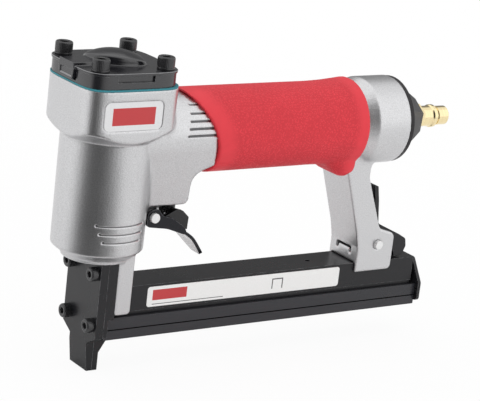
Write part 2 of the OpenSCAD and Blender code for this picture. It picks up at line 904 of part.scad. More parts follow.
module housing() {
    color("silver")
        difference() {
            union() {
                head_block();
                barrel_body();
                neck_and_web();
                rod_x(tube_r, 0, collar_neck_x + over, 0, handle_z);
                collar();
                rear_arm();
                nose_leg();
            }
            // Seat of the cylinder sleeve, and the cavity of the head valve over it
            rod_z(sleeve_r + press_gap, floor_z, cavity_z + over);
            rod_z(head_valve_r + run_gap, cavity_z, head_top_z + over);
            box(
                [-blade_t / 2 - blade_gap, -blade_half_w - blade_gap, barrel_z - over],
                [blade_t / 2 + blade_gap, blade_half_w + blade_gap, floor_z + over]
            );
            // Air chamber in the handle, and its port to the head
            rod_x(chamber_r, chamber_x, handle_end_x + over, 0, handle_z);
            box(
                [head_valve_r - over, -port_half_w, cavity_z],
                [head_valve_r + port_l, port_half_w, cavity_z + port_h]
            );
            rod_x(cap_spigot_r + press_gap, handle_end_x - cap_spigot_l, handle_end_x + over, 0, handle_z);
            // Bore of the trigger valve, and the hole of the trigger pin
            rod_z(valve_plug_r + press_gap, web_z - over, handle_z - chamber_r + over, valve_x);
            rod_z(valve_flange_r + press_gap, web_z - over, web_z + valve_flange_h, valve_x);
            rod_y(trigger_pin_r + press_gap, -lug_half_w - over, lug_half_w + over, trigger_x, trigger_z);
            // Holes of the cap screws and the upper nose screws
            at_cap_screws()
                rod_z(cap_screw_r, head_top_z - cap_screw_depth - over, head_top_z + over);
            at_nose_screws(nose_screw_high_z)
                rod_z(nose_screw_r, -front_plate_t - guide_t - nose_screw_depth - over, 0);
            // Pocket of the name plate
            side_view(
                soft_box([plate_mid_x, plate_mid_z], plate_l, plate_h, plate_corner_r),
                -head_half_w - over, -head_half_w + plate_pocket
            );
            neck_grooves();
            for (i = [0 : barrel_line_n - 1])
                translate([barrel_shift, 0, barrel_line_z + i * barrel_line_pitch])
                    rotate([0, 0, barrel_line_start - i * barrel_line_taper])
                        rotate_extrude(angle = barrel_line_turn + i * barrel_line_growth)
                            translate([barrel_r - barrel_line_depth, -barrel_line_w / 2])
                                square([barrel_line_depth + over, barrel_line_w]);
        }
}

module cylinder_sleeve() {
    color("darkgray")
        difference() {
            rod_z(sleeve_r, floor_z, cavity_z);
            rod_z(bore_r, floor_z - over, cavity_z + over);
            for (h = [sleeve_seal_low, sleeve_seal_high])
                rotate_extrude()
                    translate([sleeve_r - sleeve_seal_depth, floor_z + h - sleeve_seal_r - run_gap])
                        square([sleeve_seal_depth + over, 2 * (sleeve_seal_r + run_gap)]);
            for (i = [0 : return_hole_n - 1])
                rotate([0, 0, 360 * i / return_hole_n])
                    rod_x(return_hole_r, bore_r - over, sleeve_r + over, 0, floor_z + return_hole_h);
        }
}

module sleeve_seals() {
    color("dimgray")
        for (h = [sleeve_seal_low, sleeve_seal_high])
            ring(sleeve_r - sleeve_seal_r, sleeve_seal_r, floor_z + h);
}

module piston() {
    color("lightsteelblue")
        difference() {
            union() {
                rod_z(piston_r, piston_z, piston_top_z);
                rod_z(piston_boss_r, piston_z - piston_boss_h, piston_z + over);
            }
            rotate_extrude()
                translate([piston_r - piston_ring_depth, piston_z + piston_h / 2 - piston_ring_r - run_gap])
                    square([piston_ring_depth + over, 2 * (piston_ring_r + run_gap)]);
            box(
                [-blade_t / 2 - press_gap, -blade_tang_half_w - press_gap, piston_z - piston_boss_h - over],
                [blade_t / 2 + press_gap, blade_tang_half_w + press_gap, piston_z]
            );
            rod_x(driver_pin_r + press_gap, -piston_boss_r - over, piston_boss_r + over, 0, driver_pin_z);
        }
}

module piston_ring() {
    color("black")
        ring(piston_r - piston_ring_r, piston_ring_r, piston_z + piston_h / 2);
}

module driver_blade() {
    color("gray")
        difference() {
            union() {
                box(
                    [-blade_t / 2, -blade_half_w, blade_tip_z],
                    [blade_t / 2, blade_half_w, piston_z - piston_boss_h - slide_gap]
                );
                box([-blade_t / 2, -blade_tang_half_w, blade_tip_z], [blade_t / 2, blade_tang_half_w, piston_z]);
            }
            rod_x(driver_pin_r + press_gap, -over, over, 0, driver_pin_z);
        }
}

module driver_pin() {
    color("gainsboro")
        rod_x(driver_pin_r, -driver_pin_l / 2, driver_pin_l / 2, 0, driver_pin_z);
}

module bumper() {
    color("saddlebrown")
        difference() {
            rod_z(bumper_r, floor_z, floor_z + bumper_h);
            rod_z(bumper_hole_r, floor_z - over, floor_z + bumper_h + over);
            box(
                [-blade_t / 2 - slide_gap, -blade_half_w - slide_gap, floor_z - over],
                [blade_t / 2 + slide_gap, blade_half_w + slide_gap, floor_z + bumper_h + over]
            );
        }
}

module head_valve() {
    low = cavity_z + run_gap + head_seal_t;
    color("ivory")
        difference() {
            rod_z(head_valve_r, low, low + head_valve_h);
            rod_z(head_valve_hole_r, low - over, low + head_valve_h + over);
            difference() {
                rod_z(head_spring_r + 2 * head_wire_r, low + head_spring_seat_h, low + head_valve_h + over);
                rod_z(coil_inside(head_spring_r, head_wire_r) - slide_gap, low, low + head_valve_h + over);
            }
        }
}

module head_valve_seal() {
    color("dimgray")
        difference() {
            rod_z(head_seal_r, cavity_z + run_gap, cavity_z + run_gap + head_seal_t);
            rod_z(head_valve_hole_r, cavity_z, cavity_z + head_seal_t + over);
        }
}

head_spring_z = cavity_z + run_gap + head_seal_t + head_spring_seat_h + run_gap;
head_spring_h = cap_z - run_gap - head_spring_z;

module head_valve_spring() {
    color("gainsboro")
        translate([0, 0, head_spring_z])
            coil_spring(head_spring_r, head_spring_turns, head_spring_h, head_wire_r);
}

module head_gasket() {
    color("teal")
        difference() {
            plan_view(oval(head_half_l, head_half_w), head_top_z, cap_z);
            rod_z(head_valve_r, head_top_z - over, cap_z + over);
            at_cap_screws()
                rod_z(cap_hole_r, head_top_z - over, cap_z + over);
        }
}

module cylinder_cap() {
    color("black")
        difference() {
            translate([-cap_lead, 0, 0])
                plan_view(oval(head_half_l - cap_inset, head_half_w - cap_inset), cap_z, deflector_z);
            rod_z(exhaust_hole_r, cap_z - over, deflector_z + over);
            at_cap_screws()
                rod_z(cap_hole_r, cap_z - over, deflector_z + over);
            box(
                [plate_mid_x - cap_window_half_l, -head_half_w, deflector_z - cap_window_h],
                [plate_mid_x + cap_window_half_l, -head_half_w + cap_inset + cap_window_depth, deflector_z + over]
            );
            box(
                [head_shift - head_half_l - over, -hood_w / 2 - slide_gap, deflector_z - hood_drop - slide_gap],
                [head_shift - head_half_l + hood_t, hood_w / 2 + slide_gap, deflector_z + over]
            );
        }
}

module exhaust_deflector() {
    hood_x = head_shift - head_half_l - cap_inset / 2 - hood_stand;
    hood_z = deflector_z - hood_drop;
    tongue_z = deflector_top_z + tongue_h;
    foot_half_w = hood_w / 2 - hood_taper;
    room_half_w = foot_half_w - deflector_wall;
    color("black")
        difference() {
            union() {
                translate([-cap_lead, 0, 0])
                    plan_view(
                        oval(head_half_l - cap_inset / 2, head_half_w - cap_inset / 2),
                        deflector_z, deflector_top_z
                    );
                translate([cap_mid_x, 0, 0])
                    rotate([0, 0, dome_turn])
                        intersection() {
                            translate([dome_arc_r - dome_w / 2, 0, 0])
                                rod_z(dome_arc_r, deflector_z, deflector_top_z + dome_h + over);
                            translate([dome_w / 2 - dome_arc_r, 0, 0])
                                rod_z(dome_arc_r, deflector_z, deflector_top_z + dome_h + over);
                            translate([0, 0, deflector_top_z + dome_h - dome_crown_r])
                                sphere(r = dome_crown_r);
                        }
                // Raised tongue from the dome to the front, and the hood that hangs from it
                front_view(
                    [
                        [-hood_w / 2, deflector_z], [hood_w / 2, deflector_z],
                        [foot_half_w, tongue_z], [-foot_half_w, tongue_z]
                    ],
                    hood_x, cap_mid_x
                );
                front_view(
                    rounded([
                        [-foot_half_w, hood_z, hood_corner_r], [foot_half_w, hood_z, hood_corner_r],
                        [hood_w / 2, deflector_z, 0], [-hood_w / 2, deflector_z, 0]
                    ]),
                    hood_x, hood_x + hood_t
                );
            }
            // Exhaust passage from the cap to the hood
            rod_z(exhaust_hole_r, deflector_z - over, deflector_top_z);
            box(
                [hood_x + deflector_wall, -room_half_w, deflector_z - over],
                [cap_mid_x, room_half_w, tongue_z - deflector_wall]
            );
            box(
                [hood_x + deflector_wall, -room_half_w, hood_z - over],
                [hood_x + hood_t - deflector_wall, room_half_w, deflector_z]
            );
            // Shallow panel on the hood's face
            box(
                [hood_x - over, hood_frame - foot_half_w, hood_z + hood_frame],
                [hood_x + hood_frame_depth, foot_half_w - hood_frame, deflector_z - hood_frame / 2]
            );
            at_cap_screws()
                rod_z(cap_hole_r, deflector_z - over, deflector_top_z + over);
        }
}

module cap_washers() {
    color("dimgray")
        at_cap_screws()
            difference() {
                rod_z(cap_screw_head_r, deflector_top_z, deflector_top_z + washer_t);
                rod_z(cap_hole_r, deflector_top_z - over, deflector_top_z + washer_t + over);
            }
}

module cap_screws() {
    seat = deflector_top_z + washer_t;
    color("dimgray")
        at_cap_screws()
            translate([0, 0, seat])
                socket_screw(
                    cap_screw_r, cap_screw_head_r, cap_screw_head_h, seat - head_top_z + cap_screw_depth,
                    cap_socket_r, cap_socket_depth
                );
}

module front_plate() {
    color("dimgray")
        difference() {
            front_view(
                [
                    [-tip_half_w, 0], [tip_half_w, 0], [tip_half_w, ear_z - ear_slope_h],
                    [front_plate_half_w, ear_z], [front_plate_half_w, barrel_z],
                    [-front_plate_half_w, barrel_z], [-front_plate_half_w, ear_z],
                    [-tip_half_w, ear_z - ear_slope_h]
                ],
                -front_plate_x, plate_joint_x
            );
            // Track of the driver blade
            box(
                [-blade_t / 2 - blade_gap, -blade_half_w - blade_gap, -over],
                [plate_joint_x + over, blade_half_w + blade_gap, barrel_z + over]
            );
            // Bevel on the tip's face
            side_view(
                [
                    [-front_plate_x - over, -over], [tip_bevel_d - front_plate_x, -over],
                    [tip_bevel_d - front_plate_x, 0], [-front_plate_x, tip_bevel_h],
                    [-front_plate_x - over, tip_bevel_h]
                ],
                -tip_half_w - over, tip_half_w + over
            );
            for (z = [nose_screw_low_z, nose_screw_high_z])
                at_nose_screws(z)
                    rod_z(nose_hole_r, -front_plate_t - over, over);
        }
}

module guide_plate() {
    centre_half_w = rail_in - slide_gap - run_gap;
    color("black")
        difference() {
            union() {
                // Middle slab with the foot under the drawer
                side_view(
                    [
                        [plate_joint_x, 0], [plate_joint_x + guide_foot_tip_t, 0],
                        [plate_joint_x + guide_foot_tip_t, guide_foot_z],
                        [guide_x + guide_foot_l, rail_z - slide_gap], [guide_x, rail_z - slide_gap],
                        [guide_x, rail_top_z], [plate_joint_x, rail_top_z]
                    ],
                    -tip_half_w, tip_half_w
                );
                box(
                    [plate_joint_x, -centre_half_w, rail_z - slide_gap],
                    [guide_x, centre_half_w, rail_top_z + 2 * slide_gap]
                );
                box(
                    [plate_joint_x, -front_plate_half_w, ear_z],
                    [plate_joint_x + guide_ear_t, front_plate_half_w, leg_z]
                );
                box(
                    [plate_joint_x, -front_plate_half_w, rail_top_z + 2 * slide_gap],
                    [guide_x, front_plate_half_w, barrel_z]
                );
            }
            // Window through which staples reach the driver
            box(
                [plate_joint_x - over, -guide_slot_half_w, window_z],
                [guide_x + over, guide_slot_half_w, channel_top_z - channel_t]
            );
            for (z = [nose_screw_low_z, nose_screw_high_z])
                at_nose_screws(z)
                    rod_z(nose_hole_r, -front_plate_t - guide_t - over, 0);
        }
}

module nose_screws() {
    color("dimgray") {
        at_nose_screws(nose_screw_high_z)
            socket_screw(
                nose_screw_r, nose_screw_head_r, nose_screw_head_h, front_plate_t + guide_t + nose_screw_depth,
                nose_socket_r, nose_socket_depth
            );
        at_nose_screws(nose_screw_low_z)
            socket_screw(
                nose_screw_r, nose_screw_head_r, nose_screw_head_h, front_plate_t + guide_ear_t,
                nose_socket_r, nose_socket_depth
            );
    }
}

// Curved strip of the trigger's finger blade, as points along its lower edge
function blade_edge() =
    let (
        corners = placed(trigger_blade_shares, [trigger_front_x, trigger_tip_z], [trigger_l, trigger_h]),
        n = len(corners)
    )
    [for (i = [0 : n - 1])
        each corners[i][2] > 0
            ? corner_arc(
                [corners[i - 1][0], corners[i - 1][1]], [corners[i][0], corners[i][1]],
                [corners[i + 1][0], corners[i + 1][1]], corners[i][2]
            )
            : [[corners[i][0], corners[i][1]]]];

// The same edge moved up by the sheet's thickness, square to the strip
function edge_normal(points, i) =
    let (
        a = points[max(i - 1, 0)],
        b = points[min(i + 1, len(points) - 1)],
        d = unit(b - a)
    )
    [-d[1], d[0]];

function strip(points, thick) =
    concat(
        points,
        [for (i = [len(points) - 1 : -1 : 0]) points[i] + thick * edge_normal(points, i)]
    );

module trigger() {
    cheek = rounded(placed(trigger_cheek_shares, [trigger_front_x, trigger_tip_z], [trigger_l, trigger_h]));
    color("slategray")
        difference() {
            union() {
                side_view(cheek, -trigger_half_w, trigger_t - trigger_half_w);
                side_view(cheek, trigger_half_w - trigger_t, trigger_half_w);
                intersection() {
                    side_view(strip(blade_edge(), trigger_t), -trigger_half_w, trigger_half_w);
                    front_view(
                        concat(
                            [[-trigger_half_w, trigger_z]],
                            [for (q = trigger_width_shares)
                                [-q[0] * trigger_half_w, trigger_tip_z + q[1] * trigger_h]],
                            [for (i = [len(trigger_width_shares) - 1 : -1 : 0])
                                let (q = trigger_width_shares[i])
                                    [q[0] * trigger_half_w, trigger_tip_z + q[1] * trigger_h]],
                            [[trigger_half_w, trigger_z]]
                        ),
                        trigger_front_x, trigger_front_x + 2 * trigger_l
                    );
                }
            }
            rod_y(trigger_pin_r + run_gap, -trigger_half_w - over, trigger_half_w + over, trigger_x, trigger_z);
        }
}

module trigger_insert() {
    block = rounded(placed(insert_shares, [trigger_front_x, trigger_tip_z], [trigger_l, trigger_h]));
    color("black")
        difference() {
            side_view(block, -insert_half_w, insert_half_w);
            box(
                [trigger_front_x, -insert_in, insert_floor_z],
                [trigger_front_x + 2 * trigger_l, insert_in, web_z]
            );
        }
}

module trigger_pin() {
    color("white")
        rod_y(trigger_pin_r, -trigger_half_w - pin_stand, trigger_half_w + pin_stand, trigger_x, trigger_z);
}

module valve_body() {
    color("black")
        difference() {
            union() {
                rod_z(valve_boss_r, valve_foot_z, web_z + over, valve_x);
                rod_z(valve_flange_r, web_z, web_z + valve_flange_h, valve_x);
                rod_z(valve_plug_r, web_z, valve_top_z, valve_x);
            }
            rod_z(stem_r + run_gap, valve_foot_z - over, valve_floor_z + over, valve_x);
            rod_z(valve_chamber_r, valve_floor_z, valve_top_z + over, valve_x);
            for (i = [0, 1])
                translate([valve_x, 0, web_z + valve_ring_low + i * valve_ring_pitch])
                    rotate_extrude()
                        translate([valve_plug_r - valve_ring_depth, -valve_ring_r - run_gap])
                            square([valve_ring_depth + over, 2 * (valve_ring_r + run_gap)]);
        }
}

module valve_seals() {
    color("dimgray")
        for (i = [0, 1])
            ring(
                valve_plug_r - valve_ring_r, valve_ring_r, web_z + valve_ring_low + i * valve_ring_pitch, valve_x
            );
}

module valve_stem() {
    color("gainsboro") {
        translate([valve_x, 0, valve_foot_z - stem_reach])
            cylinder(r1 = stem_tip_r, r2 = stem_r, h = stem_tip_h);
        rod_z(stem_r, valve_foot_z - stem_reach + stem_tip_h, valve_floor_z + slide_gap + stem_head_h, valve_x);
        rod_z(stem_head_r, valve_floor_z + slide_gap, valve_floor_z + slide_gap + stem_head_h, valve_x);
    }
}

valve_spring_z = valve_floor_z + slide_gap + stem_head_h + run_gap;
valve_spring_h = valve_top_z - valve_cap_t - run_gap - valve_spring_z;

module valve_spring() {
    color("gainsboro")
        translate([valve_x, 0, valve_spring_z])
            coil_spring(valve_spring_r, valve_spring_turns, valve_spring_h, valve_wire_r);
}

module valve_cap() {
    color("black")
        difference() {
            rod_z(valve_chamber_r - press_gap, valve_top_z - valve_cap_t, valve_top_z, valve_x);
            rod_z(valve_cap_hole_r, valve_top_z - valve_cap_t - over, valve_top_z + over, valve_x);
        }
}

// Swelling of the grip under its rear end, where the arm leaves the handle
lobe_r = 8.6;
lobe_half_w = 6.4;
lobe_lap = 1.5;
lobe_drop = 18.6;
lobe_x = arm_x + lobe_lap;
lobe_z = handle_z - lobe_drop;
lobe_l = 6.5;
lobe_rise = 6;
grip_flare_l = 24;
grip_flare_shares = [[0, 1], [0.22, 0.6], [0.6, 0.28], [1, 0]];

module grip_sleeve() {
    color("crimson")
        difference() {
            union() {
                turned_x(concat(
                    [[0, 0], [grip_r, 0]],
                    [for (s = grip_flare_shares)
                        [grip_r + s[0] * (grip_rear_r - grip_r), grip_end_x - s[1] * grip_flare_l]],
                    [[0, grip_end_x]]
                ));
                hull()
                    for (y = [-1, 1]) {
                        translate([lobe_x, y * lobe_half_w, lobe_z])
                            sphere(r = lobe_r, $fn = 32);
                        translate([lobe_x - lobe_l, y * lobe_half_w, lobe_z + lobe_rise])
                            sphere(r = lobe_r, $fn = 32);
                    }
            }
            before_grip(0);
            rod_x(tube_r + press_gap, 0, collar_neck_x + over, 0, handle_z);
            box([grip_end_x, -2 * collar_r, 0], [handle_end_x, 2 * collar_r, handle_z + 2 * collar_r]);
            side_view(arm_outline(), -arm_half_w - slide_gap, arm_half_w + slide_gap);
            translate([-slide_gap, 0, 0])
                side_view(arm_outline(), -arm_half_w - slide_gap, arm_half_w + slide_gap);
        }
}

module end_cap() {
    hex_x = handle_end_x + cap_flange_t;
    spigot_x = handle_end_x - cap_spigot_l + over;
    color("black")
        difference() {
            union() {
                rod_x(cap_spigot_r, spigot_x, handle_end_x + over, 0, handle_z);
                rod_x(collar_r - slide_gap, handle_end_x, hex_x, 0, handle_z);
                translate([hex_x, 0, handle_z])
                    rotate([cap_hex_turn, 0, 0])
                        rotate([0, 90, 0])
                            rotate([0, 0, 90])
                                cylinder(r1 = cap_hex_r, r2 = cap_hex_tip_r, h = cap_hex_l, $fn = 6);
            }
            rod_x(cap_passage_r, spigot_x - over, hex_x + cap_hex_l - nipple_thread_l, 0, handle_z);
            rod_x(nipple_thread_r + press_gap, spigot_x - over, hex_x + cap_hex_l + over, 0, handle_z);
            turned_x([
                [cap_spigot_r - cap_seal_depth, cap_seal_x - cap_seal_r - run_gap],
                [cap_spigot_r + over, cap_seal_x - cap_seal_r - run_gap],
                [cap_spigot_r + over, cap_seal_x + cap_seal_r + run_gap],
                [cap_spigot_r - cap_seal_depth, cap_seal_x + cap_seal_r + run_gap]
            ]);
        }
}

module end_cap_seal() {
    color("dimgray")
        translate([cap_seal_x, 0, handle_z])
            rotate([0, 90, 0])
                ring(cap_spigot_r - cap_seal_r, cap_seal_r, 0);
}

module air_nipple() {
    seat = handle_end_x + cap_flange_t + cap_hex_l;
    tip = nipple_end_x - nipple_tip_l;
    ring_end = tip - nipple_groove_l;
    ring_start = ring_end - nipple_ring_l;
    color("gold")
        difference() {
            union() {
                turned_x([
                    [0, seat - nipple_thread_l], [nipple_thread_r, seat - nipple_thread_l],
                    [nipple_thread_r, seat + over], [nipple_neck_r, seat + over],
                    [nipple_neck_r, ring_start], [nipple_ring_r, ring_start + nipple_edge],
                    [nipple_ring_r, ring_end], [nipple_groove_r, ring_end], [nipple_groove_r, tip],
                    [nipple_tip_r, tip], [nipple_tip_r, nipple_end_x - nipple_edge],
                    [nipple_tip_r - nipple_edge, nipple_end_x], [0, nipple_end_x]
                ]);
                translate([seat, 0, handle_z])
                    rotate([0, 90, 0])
                        cylinder(r = nipple_hex_r, h = nipple_hex_l, $fn = 6);
            }
            rod_x(nipple_bore_r, seat - nipple_thread_l - over, nipple_end_x + over, 0, handle_z);
        }
}

module magazine_channel() {
    bead_z = groove_z + slide_gap;
    color("dimgray")
        difference() {
            union() {
                box([channel_x, -channel_half_w, channel_low_z], [channel_end_x, channel_half_w, channel_top_z]);
                box(
                    [channel_x, -skirt_in - skirt_t, bead_z],
                    [channel_end_x, skirt_in + skirt_t, channel_low_z + over]
                );
                box(
                    [channel_x, -skirt_in - skirt_t - bead_w, bead_z],
                    [channel_end_x, skirt_in + skirt_t + bead_w, bead_z + bead_h]
                );
            }
            box([channel_x - over, -skirt_in, 0], [channel_end_x + over, skirt_in, channel_top_z - channel_t]);
            rod_z(channel_hole_r, channel_low_z, channel_top_z + over, channel_hole_x);
            translate([channel_screw_x, 0, channel_top_z - channel_t])
                rotate_extrude()
                    polygon([
                        [0, -over], [small_screw_head_r, -over], [small_screw_head_r, 0],
                        [small_screw_r + press_gap, channel_t - press_gap],
                        [small_screw_r + press_gap, channel_t + over], [0, channel_t + over]
                    ]);
        }
}

module channel_screw() {
    color("gainsboro")
        translate([channel_screw_x, 0, channel_top_z - channel_t])
            rotate_extrude()
                polygon([
                    [0, 0], [small_screw_head_r - press_gap, 0], [small_screw_r - press_gap, channel_t - press_gap],
                    [small_screw_r - press_gap, channel_t + channel_screw_depth - slide_gap],
                    [0, channel_t + channel_screw_depth - slide_gap]
                ]);
}

module drawer_rail() {
    color("dimgray")
        difference() {
            box([rail_x, -rail_half_w, rail_z], [rail_end_x, rail_half_w, rail_top_z]);
            box([rail_x - over, -rail_in, rail_floor_z], [rail_end_x + over, rail_in, rail_top_z + over]);
            box([rail_x - over, -rail_in, rail_z - over], [rail_floor_x, rail_in, rail_top_z + over]);
            // Inner grooves that hang on the channel's beads
            box(
                [rail_x - over, -rail_in - groove_d, groove_z],
                [rail_end_x + over, rail_in + groove_d, groove_z + groove_h]
            );
            // Fine line along each side
            for (y = [-rail_half_w, rail_half_w])
                box(
                    [rail_x - over, y - line_groove_d, line_z - line_groove_h / 2],
                    [rail_end_x + over, y + line_groove_d, line_z + line_groove_h / 2]
                );
        }
}

module staple_rail() {
    color("gainsboro")
        difference() {
            union() {
                box([core_x, -core_half_w, rail_floor_z], [rail_end_x, core_half_w, core_top_z]);
                box(
                    [core_end_x, -core_block_half_w, rail_floor_z],
                    [rail_end_x, core_block_half_w, rail_floor_z + core_block_h]
                );
            }
            box(
                [core_x + core_t, core_t - core_half_w, rail_floor_z - over],
                [core_end_x - core_t, core_half_w - core_t, core_top_z - core_t]
            );
            box(
                [core_x + core_t, -core_slot_half_w, core_top_z - core_t - over],
                [core_end_x - core_t, core_slot_half_w, core_top_z + over]
            );
            // The rear end is open over the screw block
            box(
                [core_end_x, -core_half_w - over, rail_floor_z + core_block_h],
                [rail_end_x + over, core_half_w + over, core_top_z + over]
            );
            rod_x(pusher_rod_r + press_gap, core_x - over, rail_end_x, 0, rod_z);
            at_end_screws()
                rod_z(small_screw_r, -end_plate_t - small_screw_depth, 0);
        }
}

module end_plate() {
    color("dimgray")
        difference() {
            front_view(
                rounded([
                    [-end_plate_half_w, end_plate_low_z, end_plate_corner_r],
                    [end_plate_half_w, end_plate_low_z, end_plate_corner_r],
                    [end_plate_half_w, end_plate_wide_z, end_plate_corner_r],
                    [end_plate_top_half_w, end_plate_top_z, end_plate_corner_r],
                    [-end_plate_top_half_w, end_plate_top_z, end_plate_corner_r],
                    [-end_plate_half_w, end_plate_wide_z, end_plate_corner_r]
                ]),
                rail_end_x, rail_end_x + end_plate_t
            );
            at_end_screws()
                rod_z(small_screw_r + press_gap, -end_plate_t - over, over);
        }
}

module end_plate_screws() {
    color("gainsboro")
        at_end_screws()
            socket_screw(
                small_screw_r, small_screw_head_r, small_screw_head_h, end_plate_t + small_screw_depth - slide_gap,
                small_socket_r, small_socket_depth
            );
}

module staple_pusher() {
    top = core_top_z + slide_gap;
    high = channel_top_z - channel_t - slide_gap;
    color("silver")
        difference() {
            union() {
                difference() {
                    box([pusher_x, -pusher_out, pusher_low_z], [pusher_x + pusher_l, pusher_out, high]);
                    box(
                        [pusher_x - over, -core_half_w - slide_gap, pusher_low_z - over],
                        [pusher_x + pusher_l + over, core_half_w + slide_gap, top]
                    );
                }
                box(
                    [pusher_x, -pusher_tongue_half_w, rod_z],
                    [pusher_x + pusher_collar_l, pusher_tongue_half_w, high]
                );
                rod_x(pusher_collar_r, pusher_x, pusher_x + pusher_collar_l, 0, rod_z);
            }
            rod_x(pusher_rod_r + run_gap, pusher_x - over, pusher_x + pusher_l + over, 0, rod_z);
        }
}

module pusher_rod() {
    color("gainsboro")
        rod_x(pusher_rod_r, core_x, core_end_x, 0, rod_z);
}

pusher_spring_x = pusher_x + pusher_collar_l + run_gap;
pusher_spring_h = core_end_x - core_t - run_gap - pusher_spring_x;

module pusher_spring() {
    color("gainsboro")
        translate([pusher_spring_x, 0, rod_z])
            rotate([0, 90, 0])
                coil_spring(pusher_spring_r, pusher_spring_turns, pusher_spring_h, pusher_wire_r);
}

module latch_lever() {
    color("dimgray")
        difference() {
            union() {
                side_view(
                    rounded(placed(latch_shares, [latch_x, latch_z], [latch_reach, latch_rise])),
                    -latch_half_w, latch_half_w
                );
                rod_y(latch_hub_r, -latch_half_w, latch_half_w, latch_x, latch_z);
            }
            rod_y(latch_pin_r + run_gap, -latch_half_w - over, latch_half_w + over, latch_x, latch_z);
            // Room for the spring around the pin
            rod_y(latch_hub_r + over, -latch_spring_half_l, latch_spring_half_l, latch_x, latch_z);
        }
}

module latch_pin() {
    color("white")
        rod_y(latch_pin_r, -arm_half_w - pin_stand, arm_half_w + pin_stand, latch_x, latch_z);
}

latch_spring_h = 2 * (latch_spring_half_l - slide_gap);

module latch_spring() {
    color("gainsboro")
        translate([latch_x, -latch_spring_h / 2, latch_z])
            rotate([-90, 0, 0])
                coil_spring(latch_spring_r, latch_spring_turns, latch_spring_h, latch_wire_r);
}

module name_plate() {
    back = -head_half_w + plate_pocket;
    color("firebrick")
        side_view(
            soft_box(
                [plate_mid_x, plate_mid_z], plate_l - 2 * slide_gap, plate_h - 2 * slide_gap,
                plate_corner_r - slide_gap
            ),
            back - plate_t, back
        );
}

module magazine_label() {
    mid_z = channel_low_z + channel_side_h / 2;
    color("whitesmoke")
        side_view(
            soft_box([label_x + label_l / 2, mid_z], label_l, label_h, label_corner_r),
            -channel_half_w - label_t, -channel_half_w
        );
}

// Least gaps between the curls of the springs of the head valve, the trigger valve, the pusher and the latch
echo(head_gap = coil_gap(head_spring_r, head_spring_turns, head_spring_h, head_wire_r));
echo(valve_gap = coil_gap(valve_spring_r, valve_spring_turns, valve_spring_h, valve_wire_r));
echo(pusher_gap = coil_gap(pusher_spring_r, pusher_spring_turns, pusher_spring_h, pusher_wire_r));
echo(latch_gap = coil_gap(latch_spring_r, latch_spring_turns, latch_spring_h, latch_wire_r));

housing();
cylinder_sleeve();
sleeve_seals();
piston();
piston_ring();
driver_blade();
driver_pin();
bumper();
head_valve();
head_valve_seal();
head_valve_spring();
head_gasket();
cylinder_cap();
exhaust_deflector();
cap_washers();
cap_screws();
front_plate();
guide_plate();
nose_screws();
trigger();
trigger_insert();
trigger_pin();
valve_body();
valve_stem();
valve_seals();
valve_spring();
valve_cap();
grip_sleeve();
end_cap();
end_cap_seal();
air_nipple();
magazine_channel();
channel_screw();
drawer_rail();
staple_rail();
end_plate();
end_plate_screws();
staple_pusher();
pusher_rod();
pusher_spring();
latch_lever();
latch_pin();
latch_spring();
name_plate();
magazine_label();
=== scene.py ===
import json
import math

import bmesh
import bpy
import numpy as np
from bpy.props import FloatProperty, FloatVectorProperty, IntProperty, PointerProperty
from bpy.types import Operator, Panel, PropertyGroup
from mathutils import Matrix, Vector


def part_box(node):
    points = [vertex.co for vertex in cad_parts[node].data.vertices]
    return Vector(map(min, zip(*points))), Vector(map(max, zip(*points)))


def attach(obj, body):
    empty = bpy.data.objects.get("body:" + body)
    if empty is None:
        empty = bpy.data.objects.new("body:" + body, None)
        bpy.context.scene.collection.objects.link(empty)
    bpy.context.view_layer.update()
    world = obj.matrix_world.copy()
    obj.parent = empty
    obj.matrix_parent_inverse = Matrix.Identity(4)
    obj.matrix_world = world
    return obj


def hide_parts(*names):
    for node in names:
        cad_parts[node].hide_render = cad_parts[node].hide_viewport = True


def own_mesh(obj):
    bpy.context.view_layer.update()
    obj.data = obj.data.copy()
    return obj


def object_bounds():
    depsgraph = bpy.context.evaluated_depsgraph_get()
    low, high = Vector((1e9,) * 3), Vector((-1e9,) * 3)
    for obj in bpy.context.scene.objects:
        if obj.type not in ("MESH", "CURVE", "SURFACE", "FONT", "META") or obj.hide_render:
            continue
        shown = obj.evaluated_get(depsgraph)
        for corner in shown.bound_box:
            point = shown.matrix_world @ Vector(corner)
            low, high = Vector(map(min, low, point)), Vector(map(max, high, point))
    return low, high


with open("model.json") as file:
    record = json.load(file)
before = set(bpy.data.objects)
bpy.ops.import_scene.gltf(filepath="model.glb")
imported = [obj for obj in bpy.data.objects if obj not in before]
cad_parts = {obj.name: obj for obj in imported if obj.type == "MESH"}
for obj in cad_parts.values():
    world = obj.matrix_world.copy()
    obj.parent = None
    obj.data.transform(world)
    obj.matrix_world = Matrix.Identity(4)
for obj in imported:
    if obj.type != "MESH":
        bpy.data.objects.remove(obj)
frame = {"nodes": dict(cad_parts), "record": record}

bl_info = {
    "name": "Upholstery stapler looks",
    "version": (1, 0, 0),
    "blender": (4, 5, 0),
    "location": "View3D > Sidebar > Stapler",
    "description": "Dresses the packed frame of a pneumatic upholstery stapler in its finishes",
    "category": "Object",
}

MM = 0.001
NODES = frame["nodes"]
RECORD = frame["record"]
BODY_OF = {
    node: body for body, nodes in RECORD["behaviour"]["bodies"].items() for node in nodes
}
CAD_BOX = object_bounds()

# Colour sockets of a Mix node
MIX_A, MIX_B, MIX_OUT = 6, 7, 2
WHITE = (1.0, 1.0, 1.0, 1.0)

# Mesh work
WELD = 0.001 * MM
FLAT_TURN = math.radians(0.4)
BEVEL_TURN = math.radians(32)
SHARP_TURN = math.radians(38)
EDGE_STEPS = 2
EVEN_WEIGHT = 80
SMOOTH_FACTOR = 0.5
CASTING_SHARE, GRIP_SHARE, DEFLECTOR_SHARE = 0.3, 0.45, 0.3

